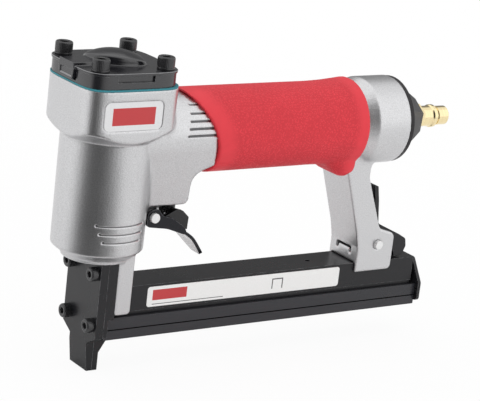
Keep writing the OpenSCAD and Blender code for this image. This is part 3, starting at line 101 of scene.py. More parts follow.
# Barrel and neck of the casting, in millimetres and degrees
HANDLE_Z = 117.1
NECK_R = 19.4
BARREL_X = 1.7
BARREL_R = 22.5
# Each line's height, and the turns at which it starts and ends
BARREL_LINES = ((77.6, 235.6, 306.2), (73.55, 240.6, 303.3), (69.5, 245.6, 300.4))
# Where each groove starts along the handle, and its turn
NECK_GROOVES = ((35.6, 6.5), (36.55, 16.8), (37.5, 27.8), (38.45, 39.9), (39.4, 55.0))
# Each band fades in over its first pair and out over its second
BAND_REACH = 1.2
BARREL_BAND_TURN = ((228, 232), (312, 309))
BARREL_BAND_Z = ((65.5, 67), (81.5, 80))
NECK_BAND_X = (32.5, 34.5)
NECK_BAND_END = 58
NECK_BAND_TURN = ((-3, 1), (68, 63))
BAND_CUTS = 2
# The small pit at a line's left end
PIT_RISE, PIT_PRESS, PIT_SPREAD = 0.35, 1.4, 1.5
LINE_POWER, GROOVE_POWER = 2, 3

# Hollows of the casting that are filleted, in millimetres
BEND_SHARE, BEND_START, BEND_PASSES = 0.05, 0.3, 3
SPREAD_PASSES, SPREAD_GAIN = 14, 1.5
BORE_R, BORE_FOOT_Z = 21.3, 66
DUCT_R, DUCT_FRONT_X = 18.6, 24
NECK_TOP_Z, NECK_UPPER_X, NECK_LOWER_X = 103, 23, 13
NECK_REAR_X, NECK_Z = 64, (70, 138)
ARM_X, ARM_Z = (134, 172), (80, 100)

# Grip: the arc of its front rim, its pebbles, and the lobe under its rear end
GRIP_CURVE_R = 55 * MM
GRIP_CURVE_Z = 100 * MM
GRIP_FRONT_FADE = (GRIP_CURVE_R + 5 * MM, GRIP_CURVE_R + 13 * MM)
GRIP_REAR_FADE = (139 * MM, 133 * MM)
PEBBLE = 1.0 * MM
PEBBLE_H = 0.12 * MM
PEBBLE_EDGE = (0.62, 0.1)
PEBBLE_GRAIN = 0.12
# The cracks between pebbles get a painted shade
CRACK_SHARE, CRACK_SHADE = 0.5, 0.62
GRIP_ROUGHNESS = (0.5, 0.68)
LOBE_X, LOBE_TOP_Z, LOBE_R = 112, 108, 18.5
LOBE_BEND = -0.02 * MM
LOBE_PASSES = 30

# Lens shaped dome of the exhaust deflector, in millimetres
DOME_TURN = math.radians(50)
DOME_ARC_R = 16.63
DOME_W = 20.0
DOME_SINK = 0.1 * MM
DOME_RIM, DOME_FADE = 2.2, 1.2
DEFLECTOR_PASSES = 2

GASKET_EDGE = 0.1 * MM
WASHER_EDGE = 0.2 * MM
PLATE_EDGE = 0.2 * MM
LABEL_EDGE = 0.08 * MM
RAIL_LINE_RISE = 5 * MM
RAIL_LINE_H = 0.6 * MM

CAP_SCREW = {
    "head_h": 5 * MM, "shank_r": 2.48 * MM, "socket_r": 2.31 * MM, "socket_depth": 2.6 * MM,
}
NOSE_SCREW = {
    "head_h": 4 * MM, "shank_r": 1.98 * MM, "socket_r": 1.73 * MM, "socket_depth": 2 * MM,
}
SCREW_EDGE = 0.35 * MM
SCREW_CHAMFER = 0.5 * MM
SOCKET_POINT = 0.4 * MM
POINTS_PER_RIB = 4

# Each spring's direction, the joint that pushes it and the joint's stroke
SPRING_STROKES = {
    "head_valve_spring": ("z", "head_valve_lift", 3 * MM),
    "valve_spring": ("z", "valve_stem_slide", 2.5 * MM),
    "pusher_spring": ("x", "pusher_slide", 110 * MM),
}
INNER_FINISHES = {
    "Hard anodised": ("cylinder_sleeve", "piston"),
    "Black rubber": (
        "sleeve_seals", "piston_ring", "head_valve_seal", "valve_seals", "end_cap_seal",
    ),
    "Bright steel": (
        "driver_blade", "driver_pin", "valve_stem", "channel_screw", "pusher_rod", "latch_spring",
    ),
    "Urethane": ("bumper",),
    "White acetal": ("head_valve",),
    "Black plastic": ("valve_cap",),
}

# Shading: where masks start and end
NOISE_SPAN = (0.3, 0.7)
EDGE_COSINES = (0.995, 0.9)
WEAR_AND_HIGHLIGHT_PATCHES = (0.36, 0.58)
FRONT_FACING = (-0.25, -0.55)
# Tilts of the normal between which edges get a painted highlight
HIGHLIGHT_FROM_SIDE, HIGHLIGHT_TO_TOP = (0.2, 0.4), (0.9, 0.7)
ENGRAVED = "engraved"
ENGRAVED_SHADE = (0.4, 0.95)
PRINT_ROUGHNESS = (0.28, 0.4)
GROOVE_BLACK = (0.003, 0.003, 0.003)
INK = (0.05, 0.05, 0.055)

# Stage: spans of direction cosines, with the shades at their ends, and distances on the floor
WALL_SPAN, WALL_SHADES = (0.58, 0.88), (0.95, 0.06)
BEYOND_SPAN, BEYOND_SHADES = (0.8, 0.97), (1.0, 0.25)
FLOOR_FADE = (0.25, 0.75)
FLOOR_STRIP, FLOOR_STRIP_START = (0.6, 0.9), (0.1, 0.2)
FLOOR_LOW, FLOOR_HIGH, FLOOR_DIM = 0.93, 0.95, 0.06
FLOOR_LIFT = 0.93
FLOOR_GAP = 0.2 * MM
FLOOR_SIDES = 96
# Each lamp's power setting, its size and its place from the object's middle
LAMPS = {
    "Key lamp": ("key_power", 2.2, (0.95, -1.25, 0.9)),
    "Fill lamp": ("fill_power", 2.0, (-1.5, 0.35, 0.6)),
    "Top lamp": ("top_power", 2.0, (0.0, 0.3, 1.5)),
}


def colour(name, text, default):
    return FloatVectorProperty(
        name=name, description=text, subtype="COLOR", size=3, min=0.0, max=1.0, default=default
    )


def length(name, text, default):
    return FloatProperty(
        name=name, description=text, subtype="DISTANCE", unit="LENGTH", min=0.0, default=default
    )


def angle(name, text, degrees):
    return FloatProperty(
        name=name, description=text, subtype="ANGLE", default=math.radians(degrees)
    )


def count(name, text, default):
    return IntProperty(name=name, description=text, default=default)


def number(name, text, default):
    return FloatProperty(name=name, description=text, default=default)


class StaplerForms(PropertyGroup):
    """Sizes of the rounding and the fine forms that the frame leaves out."""

    casting_voxel: length("Casting voxel", "Mesh size of the cast body", 0.55 * MM)
    casting_passes: count("Edge passes", "Smoothing passes that round the casting's edges", 5)
    junction_passes: count(
        "Junction passes", "Smoothing passes that fillet the casting's hollows", 150
    )
    grip_voxel: length("Grip voxel", "Mesh size of the rubber grip", 0.7 * MM)
    grip_passes: count("Grip passes", "Smoothing passes that round the grip's edges", 6)
    cap_voxel: length("Cap voxel", "Mesh size of the exhaust deflector", 0.25 * MM)
    dome_passes: count("Dome passes", "Smoothing passes that round the dome", 80)
    sheet_edge: length("Sheet edge", "Rounding of edges on sheet and plate", 0.22 * MM)
    cap_edge: length("Cap edge", "Rounding of edges on the cap", 0.5 * MM)
    turned_edge: length("Turned edge", "Rounding of edges on turned pieces", 0.18 * MM)
    line_depth: length("Line depth", "Depth of the engraved lines on the barrel", 0.5 * MM)
    line_width: length("Line width", "Half width of the engraved lines on the barrel", 0.38 * MM)
    groove_depth: length("Groove depth", "Depth of the grooves in the neck", 0.8 * MM)
    groove_width: length("Groove width", "Half width of the grooves in the neck", 0.55 * MM)
    knurl_ribs: count("Knurl ribs", "Ribs around a screw head", 36)
    knurl_depth: length("Knurl depth", "Depth of the ribs on a screw head", 0.12 * MM)


class StaplerColours(PropertyGroup):
    """Colours of the finishes."""

    casting: colour("Casting", "Blasted cast aluminium", (0.635, 0.635, 0.645))
    rubber: colour("Grip rubber", "Pebbled rubber of the grip", (0.81, 0.044, 0.062))
    enamel: colour("Cap enamel", "Glossy enamel of the cap", (0.01, 0.01, 0.013))
    oxide: colour("Screw oxide", "Black oxide of the screws", (0.03, 0.03, 0.032))
    magazine: colour("Magazine", "Dark anodised magazine and nose", (0.01, 0.01, 0.012))
    drawer: colour("Drawer", "Dark anodised drawer", (0.022, 0.022, 0.027))
    trigger: colour("Trigger", "Blue-grey steel of the trigger", (0.016, 0.0165, 0.02))
    steel: colour("Bright steel", "Ground steel of pins and inner pieces", (0.66, 0.66, 0.67))
    brass: colour("Brass", "Turned brass of the air plug", (0.95, 0.79, 0.47))
    gasket: colour("Gasket", "Sheet gasket under the cap", (0.03, 0.24, 0.29))
    plate: colour("Name plate", "Pale plate on the head", (0.78, 0.78, 0.79))
    field: colour("Plate field", "Plain field on the plate and the label", (0.55, 0.03, 0.035))
    label: colour("Label", "Pale film on the magazine", (0.9, 0.9, 0.89))


class StaplerStage(PropertyGroup):
    """Camera, lamps and surroundings."""

    eye: FloatVectorProperty(
        name="Eye", description="Place of the camera", subtype="TRANSLATION", unit="LENGTH",
        size=3, default=(-0.505828, -0.813140, 0.368421),
    )
    turn: angle("Turn", "Turn of the view about the vertical", 35.929)
    dip: angle("Dip", "Angle by which the view looks down", 16.113)
    roll: angle("Roll", "Roll of the camera", 6.709)
    lens: number("Lens", "Focal length in millimetres", 156.4)
    wall_turn: angle("Wall turn", "Turn of the dark wall's middle from the camera", 15.0)
    floor_radius: length("Floor radius", "Radius of the pale floor", 1.6)
    key_power: number("Key", "Power of the key lamp in watts", 4.0)
    fill_power: number("Fill", "Power of the fill lamp in watts", 3.0)
    top_power: number("Top", "Power of the top lamp in watts", 3.0)
    room_light: number("Room", "Strength of the light from all sides", 0.85)


def link(tree, source, target):
    tree.links.new(source, target)


def make_node(tree, kind, inputs=None, **settings):
    """A shader node with its settings, and its inputs linked or set."""
    made = tree.nodes.new(kind)
    for name, value in settings.items():
        setattr(made, name, value)
    for name, value in (inputs or {}).items():
        if isinstance(value, bpy.types.NodeSocket):
            link(tree, value, made.inputs[name])
        else:
            made.inputs[name].default_value = value
    return made


def maths(tree, operation, first, second=None):
    inputs = {0: first} if second is None else {0: first, 1: second}
    return make_node(tree, "ShaderNodeMath", inputs, operation=operation).outputs[0]


def times(tree, first, *others):
    for other in others:
        first = maths(tree, "MULTIPLY", first, other)
    return first


def per_metre(tree, size):
    """A texture's scale from the size of its marks."""
    return maths(tree, "DIVIDE", 1.0, size)


def stretch(tree, value, low, high, to_low=0.0, to_high=1.0, steps="LINEAR"):
    inputs = {
        "Value": value, "From Min": low, "From Max": high, "To Min": to_low, "To Max": to_high,
    }
    made = make_node(tree, "ShaderNodeMapRange", inputs, interpolation_type=steps, clamp=True)
    return made.outputs["Result"]


def ease(tree, value, low, high, to_low=0.0, to_high=1.0):
    """Stretches a value with soft ends."""
    return stretch(tree, value, low, high, to_low, to_high, "SMOOTHSTEP")


def mix_colours(tree, share, first, second):
    inputs = {0: share, MIX_A: first, MIX_B: second}
    return make_node(tree, "ShaderNodeMix", inputs, data_type="RGBA").outputs[MIX_OUT]


def vector_maths(tree, operation, first, second=None):
    inputs = {0: first} if second is None else {0: first, 1: second}
    return make_node(tree, "ShaderNodeVectorMath", inputs, operation=operation).outputs


def dot(tree, first, second):
    return vector_maths(tree, "DOT_PRODUCT", first, second)["Value"]


def noise(tree, place, scale, detail, **more):
    inputs = {"Vector": place, "Scale": scale, "Detail": detail, **more}
    return make_node(tree, "ShaderNodeTexNoise", inputs).outputs[0]


def axes_of(tree, vector):
    return make_node(tree, "ShaderNodeSeparateXYZ", {0: vector}).outputs


def own_place(tree):
    """Position in the frame, which moves with the piece."""
    return tree.nodes.new("ShaderNodeTexCoord").outputs["Object"]


def own_normal(tree):
    """Direction that the surface faces, which turns with the piece."""
    return tree.nodes.new("ShaderNodeTexCoord").outputs["Normal"]


def rgba(values, factor=1.0):
    return (*[min(1.0, v * factor) for v in values], 1.0)


def make_group(name, inputs, outputs):
    """An empty shader node group, with the sockets that it is given and that it fills."""
    tree = bpy.data.node_groups.new(name, "ShaderNodeTree")
    for label, default in inputs.items():
        socket = tree.interface.new_socket(
            name=label, in_out="INPUT", socket_type="NodeSocketFloat"
        )
        socket.default_value = default
    for label in outputs:
        tree.interface.new_socket(name=label, in_out="OUTPUT", socket_type="NodeSocketFloat")
    given = tree.nodes.new("NodeGroupInput").outputs
    return tree, given, tree.nodes.new("NodeGroupOutput").inputs


def build_grain():
    """Fine speckle of blasted, moulded or oxidised surfaces."""
    tree, given, result = make_group(
        "Surface grain", {"Grain size": 0.4 * MM}, ["Speckle", "Height"]
    )
    place = own_place(tree)
    scale = per_metre(tree, given["Grain size"])
    fine = noise(tree, place, scale, 2.0)
    pits = make_node(
        tree, "ShaderNodeTexVoronoi", {"Vector": place, "Scale": times(tree, scale, 0.7)}
    )
    link(tree, stretch(tree, fine, *NOISE_SPAN), result["Speckle"])
    link(tree, maths(tree, "ADD", fine, pits.outputs["Distance"]), result["Height"])


def build_wear_and_highlight():
    """Edges lightened partly as bare, rubbed wear and partly as a painted highlight, broken up
    along their length.
    """
    tree, given, result = make_group(
        "Edge wear", {"Edge radius": 0.4 * MM, "Break-up size": 3.0 * MM}, ["Mask"]
    )
    rounded = make_node(tree, "ShaderNodeBevel", {"Radius": given["Edge radius"]}, samples=4)
    true = tree.nodes.new("ShaderNodeNewGeometry").outputs["Normal"]
    edge = stretch(tree, dot(tree, rounded.outputs[0], true), *EDGE_COSINES)
    broken = noise(tree, own_place(tree), per_metre(tree, given["Break-up size"]), 3.0)
    link(tree, times(tree, edge, stretch(tree, broken, *WEAR_AND_HIGHLIGHT_PATCHES)), result["Mask"])


def build_smudges():
    """Wide soft patches left by handling."""
    tree, given, result = make_group("Handling patches", {"Patch size": 14.0 * MM}, ["Mask"])
    scale = per_metre(tree, given["Patch size"])
    cloud = noise(tree, own_place(tree), scale, 4.0, Roughness=0.6, Distortion=0.6)
    link(tree, stretch(tree, cloud, *NOISE_SPAN), result["Mask"])


def build_grinding():
    """Fine lines of grinding, drawing or turning along one direction."""
    sizes = {"Line size": 0.15 * MM, "Along X": 0.02, "Along Y": 1.0, "Along Z": 1.0}
    tree, given, result = make_group("Drawn lines", sizes, ["Lines"])
    along = make_node(
        tree, "ShaderNodeCombineXYZ",
        {0: given["Along X"], 1: given["Along Y"], 2: given["Along Z"]},
    )
    place = vector_maths(tree, "MULTIPLY", own_place(tree), along.outputs[0])[0]
    lines = noise(tree, place, per_metre(tree, given["Line size"]), 2.0)
    link(tree, stretch(tree, lines, *NOISE_SPAN), result["Lines"])


def build_bar():
    """A bar on a side that faces along Y, with its middle and its half sizes in X and Z."""
    sizes = {"Middle X": 0.0, "Middle Z": 0.0, "Half length": 0.01, "Half height": 0.002}
    tree, given, result = make_group("Printed bar", sizes, ["Mask"])
    place = axes_of(tree, own_place(tree))
    inside = []
    for axis, half in (("X", "Half length"), ("Z", "Half height")):
        away = maths(tree, "SUBTRACT", place[axis], given["Middle " + axis])
        inside.append(maths(tree, "LESS_THAN", maths(tree, "ABSOLUTE", away), given[half]))
    link(tree, times(tree, *inside), result["Mask"])


def place_group(tree, name, inputs):
    made = tree.nodes.new("ShaderNodeGroup")
    made.node_tree = bpy.data.node_groups[name]
    for label, value in inputs.items():
        made.inputs[label].default_value = value
    return made.outputs


def bar_mask(tree, middle_x, middle_z, half_l, half_h):
    sizes = {
        "Middle X": middle_x, "Middle Z": middle_z, "Half length": half_l, "Half height": half_h,
    }
    return place_group(tree, "Printed bar", sizes)["Mask"]


def smudge_mask(tree, size):
    return place_group(tree, "Handling patches", {"Patch size": size})["Mask"]


def start_material(name):
    made = bpy.data.materials.new(name)
    made.use_nodes = True
    return made, made.node_tree, made.node_tree.nodes["Principled BSDF"].inputs


def add_bump(tree, surface, height, depth):
    inputs = {"Strength": 1.0, "Distance": depth, "Height": height}
    made = make_node(tree, "ShaderNodeBump", inputs)
    link(tree, made.outputs[0], surface["Normal"])


def finish(
    name, base, roughness, metallic=0.0, specular=0.5, grain=None, lines=None, depth=0.0,
    speckle=0.12, wear=None, wear_and_highlight_radius=0.35 * MM, patch=14.0 * MM, smudge=0.06,
):
    """A material with grain or drawn lines, handling patches and, where asked, edges lightened as
    wear and as a painted highlight.
    """
    made, tree, surface = start_material(name)
    surface["Metallic"].default_value = metallic
    surface["Specular IOR Level"].default_value = specular
    if lines:
        texture = place_group(tree, "Drawn lines", lines)
        mark, height = texture["Lines"], texture["Lines"]
    else:
        texture = place_group(tree, "Surface grain", {"Grain size": grain})
        mark, height = texture["Speckle"], texture["Height"]
    patches = smudge_mask(tree, patch)
    shade = mix_colours(tree, mark, rgba(base, 1.0 - speckle), rgba(base, 1.0 + speckle))
    if wear:
        edges = place_group(tree, "Edge wear", {"Edge radius": wear_and_highlight_radius})["Mask"]
        shade = mix_colours(tree, edges, shade, rgba(wear))
    link(tree, shade, surface["Base Color"])
    uneven = stretch(tree, patches, 0.0, 1.0, roughness - smudge, roughness + smudge)
    link(tree, uneven, surface["Roughness"])
    add_bump(tree, surface, height, depth)
    return made


def tint(made, mask, shade):
    """Gives a finish another colour where a mask is full."""
    tree = made.node_tree
    base = tree.nodes["Principled BSDF"].inputs["Base Color"]
    link(tree, mix_colours(tree, mask, base.links[0].from_socket, rgba(shade)), base)


def polish_and_reflection_below(made, bright, start, full):
    """Lightens a finish on the forward face of its lower end: partly bare, polished steel and
    partly a painted reflection.
    """
    tree = made.node_tree
    low = ease(tree, axes_of(tree, own_place(tree))["Z"], start, full)
    front = ease(tree, axes_of(tree, own_normal(tree))["X"], *FRONT_FACING)
    tint(made, times(tree, low, front), bright)


def paint_edge_highlight(made, bright, top):
    """Paints a highlight on a finish's edges that lie between a top and a side, up to a height.
    """
    tree = made.node_tree
    rise = axes_of(tree, own_normal(tree))["Z"]
    edge = times(tree, ease(tree, rise, *HIGHLIGHT_FROM_SIDE), ease(tree, rise, *HIGHLIGHT_TO_TOP))
    below = maths(tree, "LESS_THAN", axes_of(tree, own_place(tree))["Z"], top)
    tint(made, times(tree, edge, below), bright)


def paint_engraving_shade(made, dark):
    """Paints shade into a finish's engraved lines, which are marked on the mesh."""
    tree = made.node_tree
    depth = make_node(tree, "ShaderNodeAttribute", attribute_name=ENGRAVED).outputs["Fac"]
    tint(made, ease(tree, depth, *ENGRAVED_SHADE), dark)


def dark_line(made, middle_x, middle_z, half_l, half_h):
    """Darkens a finish in a narrow groove, where light doesn't reach."""
    tree = made.node_tree
    mask = bar_mask(tree, middle_x, middle_z, half_l, half_h)
    tint(made, mask, GROOVE_BLACK)
    link(tree, mask, tree.nodes["Principled BSDF"].inputs["Metallic"])


def rubber_finish(name, base):
    """Red rubber with pebbles that fade out towards the grip's plain front and rear bands."""
    _, tree, surface = start_material(name)
    surface["Specular IOR Level"].default_value = 0.35
    place = own_place(tree)
    axes = axes_of(tree, place)
    rise = maths(tree, "SUBTRACT", axes["Z"], GRIP_CURVE_Z)
    squares = [maths(tree, "POWER", side, 2.0) for side in (axes["X"], rise)]
    reach = maths(tree, "SQRT", maths(tree, "ADD", *squares))
    front = ease(tree, reach, *GRIP_FRONT_FADE)
    inner = times(tree, front, ease(tree, axes["X"], *GRIP_REAR_FADE))
    cells = make_node(
        tree, "ShaderNodeTexVoronoi",
        {"Vector": place, "Scale": 1.0 / PEBBLE, "Smoothness": 0.35, "Randomness": 0.85},
        feature="SMOOTH_F1",
    )
    pebble = ease(tree, cells.outputs["Distance"], *PEBBLE_EDGE)
    fine = place_group(tree, "Surface grain", {"Grain size": 0.35 * MM})["Height"]
    crack = times(tree, maths(tree, "SUBTRACT", 1.0, pebble), inner)
    shade = mix_colours(tree, smudge_mask(tree, 22 * MM), rgba(base, 0.94), rgba(base, 1.06))
    # Painted shade in the cracks between the pebbles.
    shade = mix_colours(tree, times(tree, crack, CRACK_SHARE), shade, rgba(base, CRACK_SHADE))
    link(tree, shade, surface["Base Color"])
    link(tree, stretch(tree, crack, 0.0, 1.0, *GRIP_ROUGHNESS), surface["Roughness"])
    height = maths(tree, "ADD", times(tree, pebble, inner), times(tree, fine, PEBBLE_GRAIN))
    add_bump(tree, surface, height, PEBBLE_H)


def print_finish(name, base, bars):
    """A pale film or plate with plain printed bars: each is a colour, a middle and half sizes."""
    _, tree, surface = start_material(name)
    surface["Coat Weight"].default_value = 0.3
    speckle = place_group(tree, "Surface grain", {"Grain size": 0.5 * MM})["Speckle"]
    shade = mix_colours(tree, speckle, rgba(base, 0.97), rgba(base, 1.03))
    for ink, *sizes in bars:
        shade = mix_colours(tree, bar_mask(tree, *sizes), shade, rgba(ink))
    link(tree, shade, surface["Base Color"])
    uneven = stretch(tree, smudge_mask(tree, 18 * MM), 0.0, 1.0, *PRINT_ROUGHNESS)
    link(tree, uneven, surface["Roughness"])


def add_object(name, data):
    made = bpy.data.objects.new(name, data)
    bpy.context.scene.collection.objects.link(made)
    return made


def coat_piece(piece, material):
    piece.data.materials.clear()
    piece.data.materials.append(material)


def add_modifier(piece, name, kind, **settings):
    made = piece.modifiers.new(name, kind)
    for key, value in settings.items():
        setattr(made, key, value)


def apply_modifiers(piece):
    """Makes the shape that the modifiers give the piece's own mesh."""
    bpy.context.view_layer.update()
    view = bpy.context.evaluated_depsgraph_get()
    shaped = bpy.data.meshes.new_from_object(piece.evaluated_get(view), depsgraph=view)
    plain = piece.data
    piece.modifiers.clear()
    piece.data = shaped
    bpy.data.meshes.remove(plain)


def remesh(piece, voxel):
    add_modifier(piece, "Even mesh", "REMESH", mode="VOXEL", voxel_size=voxel)
    apply_modifiers(piece)


def smooth(piece, passes, group=""):
    add_modifier(
        piece, "Rounding", "SMOOTH", factor=SMOOTH_FACTOR, iterations=passes, vertex_group=group
    )
    apply_modifiers(piece)


def thin_out(piece, share, group=""):
    add_modifier(piece, "Fewer faces", "DECIMATE", ratio=share, vertex_group=group)
    apply_modifiers(piece)


def welded(mesh):
    """An editable shape of a mesh, with its doubled points joined."""
    shape = bmesh.new()
    shape.from_mesh(mesh)
    bmesh.ops.remove_doubles(shape, verts=shape.verts, dist=WELD)
    return shape


def keep_shape(shape, mesh):
    """Writes an editable shape into a mesh and lets go of it."""
    shape.to_mesh(mesh)
    shape.free()
    return mesh


def copy_node(node, name):
    """A free copy of a CAD node, as a clean mesh with its flat faces joined up."""
    mesh = NODES[node].data.copy()
    mesh.name = name
    shape = welded(mesh)
    bmesh.ops.dissolve_limit(
        shape, angle_limit=FLAT_TURN, verts=shape.verts, edges=shape.edges,
        use_dissolve_boundaries=False,
    )
    keep_shape(shape, mesh)
    for layer in [layer.name for layer in mesh.uv_layers]:
        mesh.uv_layers.remove(mesh.uv_layers[layer])
    return add_object(name, mesh)


def stand_for(piece, finish_name, node):
    """Lets a finished piece ride, take its slot and stand for its CAD node."""
    coat_piece(piece, bpy.data.materials[finish_name])
    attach(piece, BODY_OF[node])
    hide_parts(node)


def settle(piece, finish_name, node):
    """Shades a finished form smoothly and lets it stand for its CAD node."""
    piece.vertex_groups.clear()
    piece.data.shade_smooth()
    stand_for(piece, finish_name, node)


def soften(node, finish_name, edge):
    """Puts a copy with rounded edges and even shading in the place of a CAD node."""
    piece = copy_node(node, node + "_form")
    add_modifier(
        piece, "Rounded edges", "BEVEL", width=edge, segments=EDGE_STEPS, limit_method="ANGLE",
        angle_limit=BEVEL_TURN, miter_outer="MITER_ARC", use_clamp_overlap=True,
    )
    piece.data.shade_smooth()
    add_modifier(piece, "Even shading", "WEIGHTED_NORMAL", weight=EVEN_WEIGHT)
    apply_modifiers(piece)
    stand_for(piece, finish_name, node)


def mesh_arrays(mesh):
    """Points, point normals and edges of a mesh as arrays."""
    points = np.empty(len(mesh.vertices) * 3, np.float32)
    normals = np.empty(len(mesh.vertices) * 3, np.float32)
    edges = np.empty(len(mesh.edges) * 2, np.int32)
    mesh.vertices.foreach_get("co", points)
    mesh.vertices.foreach_get("normal", normals)
    mesh.edges.foreach_get("vertices", edges)
    points, normals = (array.reshape(-1, 3).astype(float) for array in (points, normals))
    return points, normals, edges.reshape(-1, 2)


def neighbour_mean(values, edges):
    """Mean of each point's neighbours, for one value or several on each point."""
    neighbours = np.maximum(np.bincount(edges.ravel(), minlength=len(values)), 1)
    columns = values.reshape(len(values), -1)
    summed = np.stack(
        [
            np.bincount(edges[:, 0], columns[edges[:, 1], k], len(values))
            + np.bincount(edges[:, 1], columns[edges[:, 0], k], len(values))
            for k in range(columns.shape[1])
        ],
        axis=1,
    )
    return (summed / neighbours[:, None]).reshape(values.shape)


def bend_of(points, normals, edges):
    """How far each point lies below its neighbours: more than nothing in a hollow."""
    return ((neighbour_mean(points, edges) - points) * normals).sum(axis=1)


def weight_group(piece, name, weights):
    """A vertex group from an array, in steps of a hundredth."""
    group = piece.vertex_groups.new(name=name)
    levels = np.round(np.clip(weights, 0, 1) * 100).astype(int)
    for level in np.unique(levels):
        if level > 0:
            group.add(np.nonzero(levels == level)[0].tolist(), level / 100, "REPLACE")
    return name


def between(values, span):
    return (values > span[0]) & (values < span[1])


def casting_hollows(points, normals, edges, voxel):
    """Weights of the hollows where neck, web and arm run into barrel, head and collar."""
    bend = bend_of(points, normals, edges)
    for _ in range(BEND_PASSES):
        bend = neighbour_mean(bend, edges)
    weights = np.clip(bend / (BEND_SHARE * voxel) - BEND_START, 0, 1)
    x, y, z = points.T / MM
    outside = (np.hypot(x - BARREL_X, y) > BORE_R) | (z < BORE_FOOT_Z)
    outside &= (np.hypot(y, z - HANDLE_Z) > DUCT_R) | (x < DUCT_FRONT_X)
    neck_front = np.where(z > NECK_TOP_Z, NECK_UPPER_X, NECK_LOWER_X)
    near_neck = (x > neck_front) & (x < NECK_REAR_X) & between(z, NECK_Z)
    near_arm = between(x, ARM_X) & between(z, ARM_Z)
    weights *= outside & (near_neck | near_arm)
    for _ in range(SPREAD_PASSES):
        weights = np.maximum(weights, neighbour_mean(weights, edges))
    return np.clip(weights * SPREAD_GAIN, 0, 1)


def ramp(value, low, high):
    share = min(1.0, max(0.0, (value - low) / (high - low)))
    return share * share * (3 - 2 * share)


def within(value, band):
    """Share of a value in a band, which fades in over its first pair and out over its second."""
    return ramp(value, *band[0]) * ramp(value, *band[1])


def line_press(turn, z, width):
    """How far a point of the barrel lies in its lines, each with a small pit at its left end."""
    press = 0.0
    for line_z, start, end in BARREL_LINES:
        along = math.radians(max(start - turn, turn - end, 0.0)) * BARREL_R
        away = math.hypot(along, z - line_z) * MM
        pit = math.hypot(math.radians(turn - start) * BARREL_R, z - line_z - PIT_RISE) * MM
        pit_press = PIT_PRESS * math.exp(-((pit / (PIT_SPREAD * width)) ** 2))
        press = max(press, math.exp(-((away / width) ** LINE_POWER)), pit_press)
    return press


def groove_press(turn, x, width):
    """How far a point of the neck lies in its grooves, which run back under the grip."""
    press = 0.0
    for start, at in NECK_GROOVES:
        away = math.hypot(max(start - x, 0.0), math.radians(turn - at) * NECK_R) * MM
        press = max(press, math.exp(-((away / width) ** GROOVE_POWER)))
    return press


def barrel_band(x, y, z):
    """Share of a point in the barrel's band of lines, and its turn about the barrel."""
    turn = math.degrees(math.atan2(y, x - BARREL_X)) % 360
    if y > 0 or abs(math.hypot(x - BARREL_X, y) - BARREL_R) > BAND_REACH:
        return 0.0, turn
    return within(turn, BARREL_BAND_TURN) * within(z, BARREL_BAND_Z), turn


def neck_band(x, y, z):
    """Share of a point in the neck's band of grooves, and its turn about the handle."""
    turn = math.degrees(math.atan2(z - HANDLE_Z, -y))
    away = abs(math.hypot(y, z - HANDLE_Z) - NECK_R)
    if y > 0 or x > NECK_BAND_END or away > BAND_REACH:
        return 0.0, turn
    return ramp(x, *NECK_BAND_X) * within(turn, NECK_BAND_TURN), turn


def in_bands(point):
    return barrel_band(*(point / MM))[0] > 0 or neck_band(*(point / MM))[0] > 0


def engrave(mesh, form):
    """Gives the barrel's lines and the neck's grooves a crisp section, and marks them."""
    shape = bmesh.new()
    shape.from_mesh(mesh)
    marked = shape.verts.layers.float.new(ENGRAVED)
    near = {e for v in shape.verts if in_bands(v.co) for e in v.link_edges}
    bmesh.ops.subdivide_edges(shape, edges=list(near), cuts=BAND_CUTS, use_grid_fill=True)
    for vert in shape.verts:
        x, y, z = vert.co / MM
        share, turn = barrel_band(x, y, z)
        if share > 0:
            out = Vector((x - BARREL_X, y, 0))
            press = line_press(turn, z, form.line_width)
            reach = BARREL_R - form.line_depth / MM * press
        else:
            share, turn = neck_band(x, y, z)
            out = Vector((0, y, z - HANDLE_Z))
            press = groove_press(turn, x, form.groove_width)
            reach = NECK_R - form.groove_depth / MM * press
        if share > 0:
            vert[marked] = share * press
            vert.co += out.normalized() * share * (reach - out.length) * MM
    keep_shape(shape, mesh)


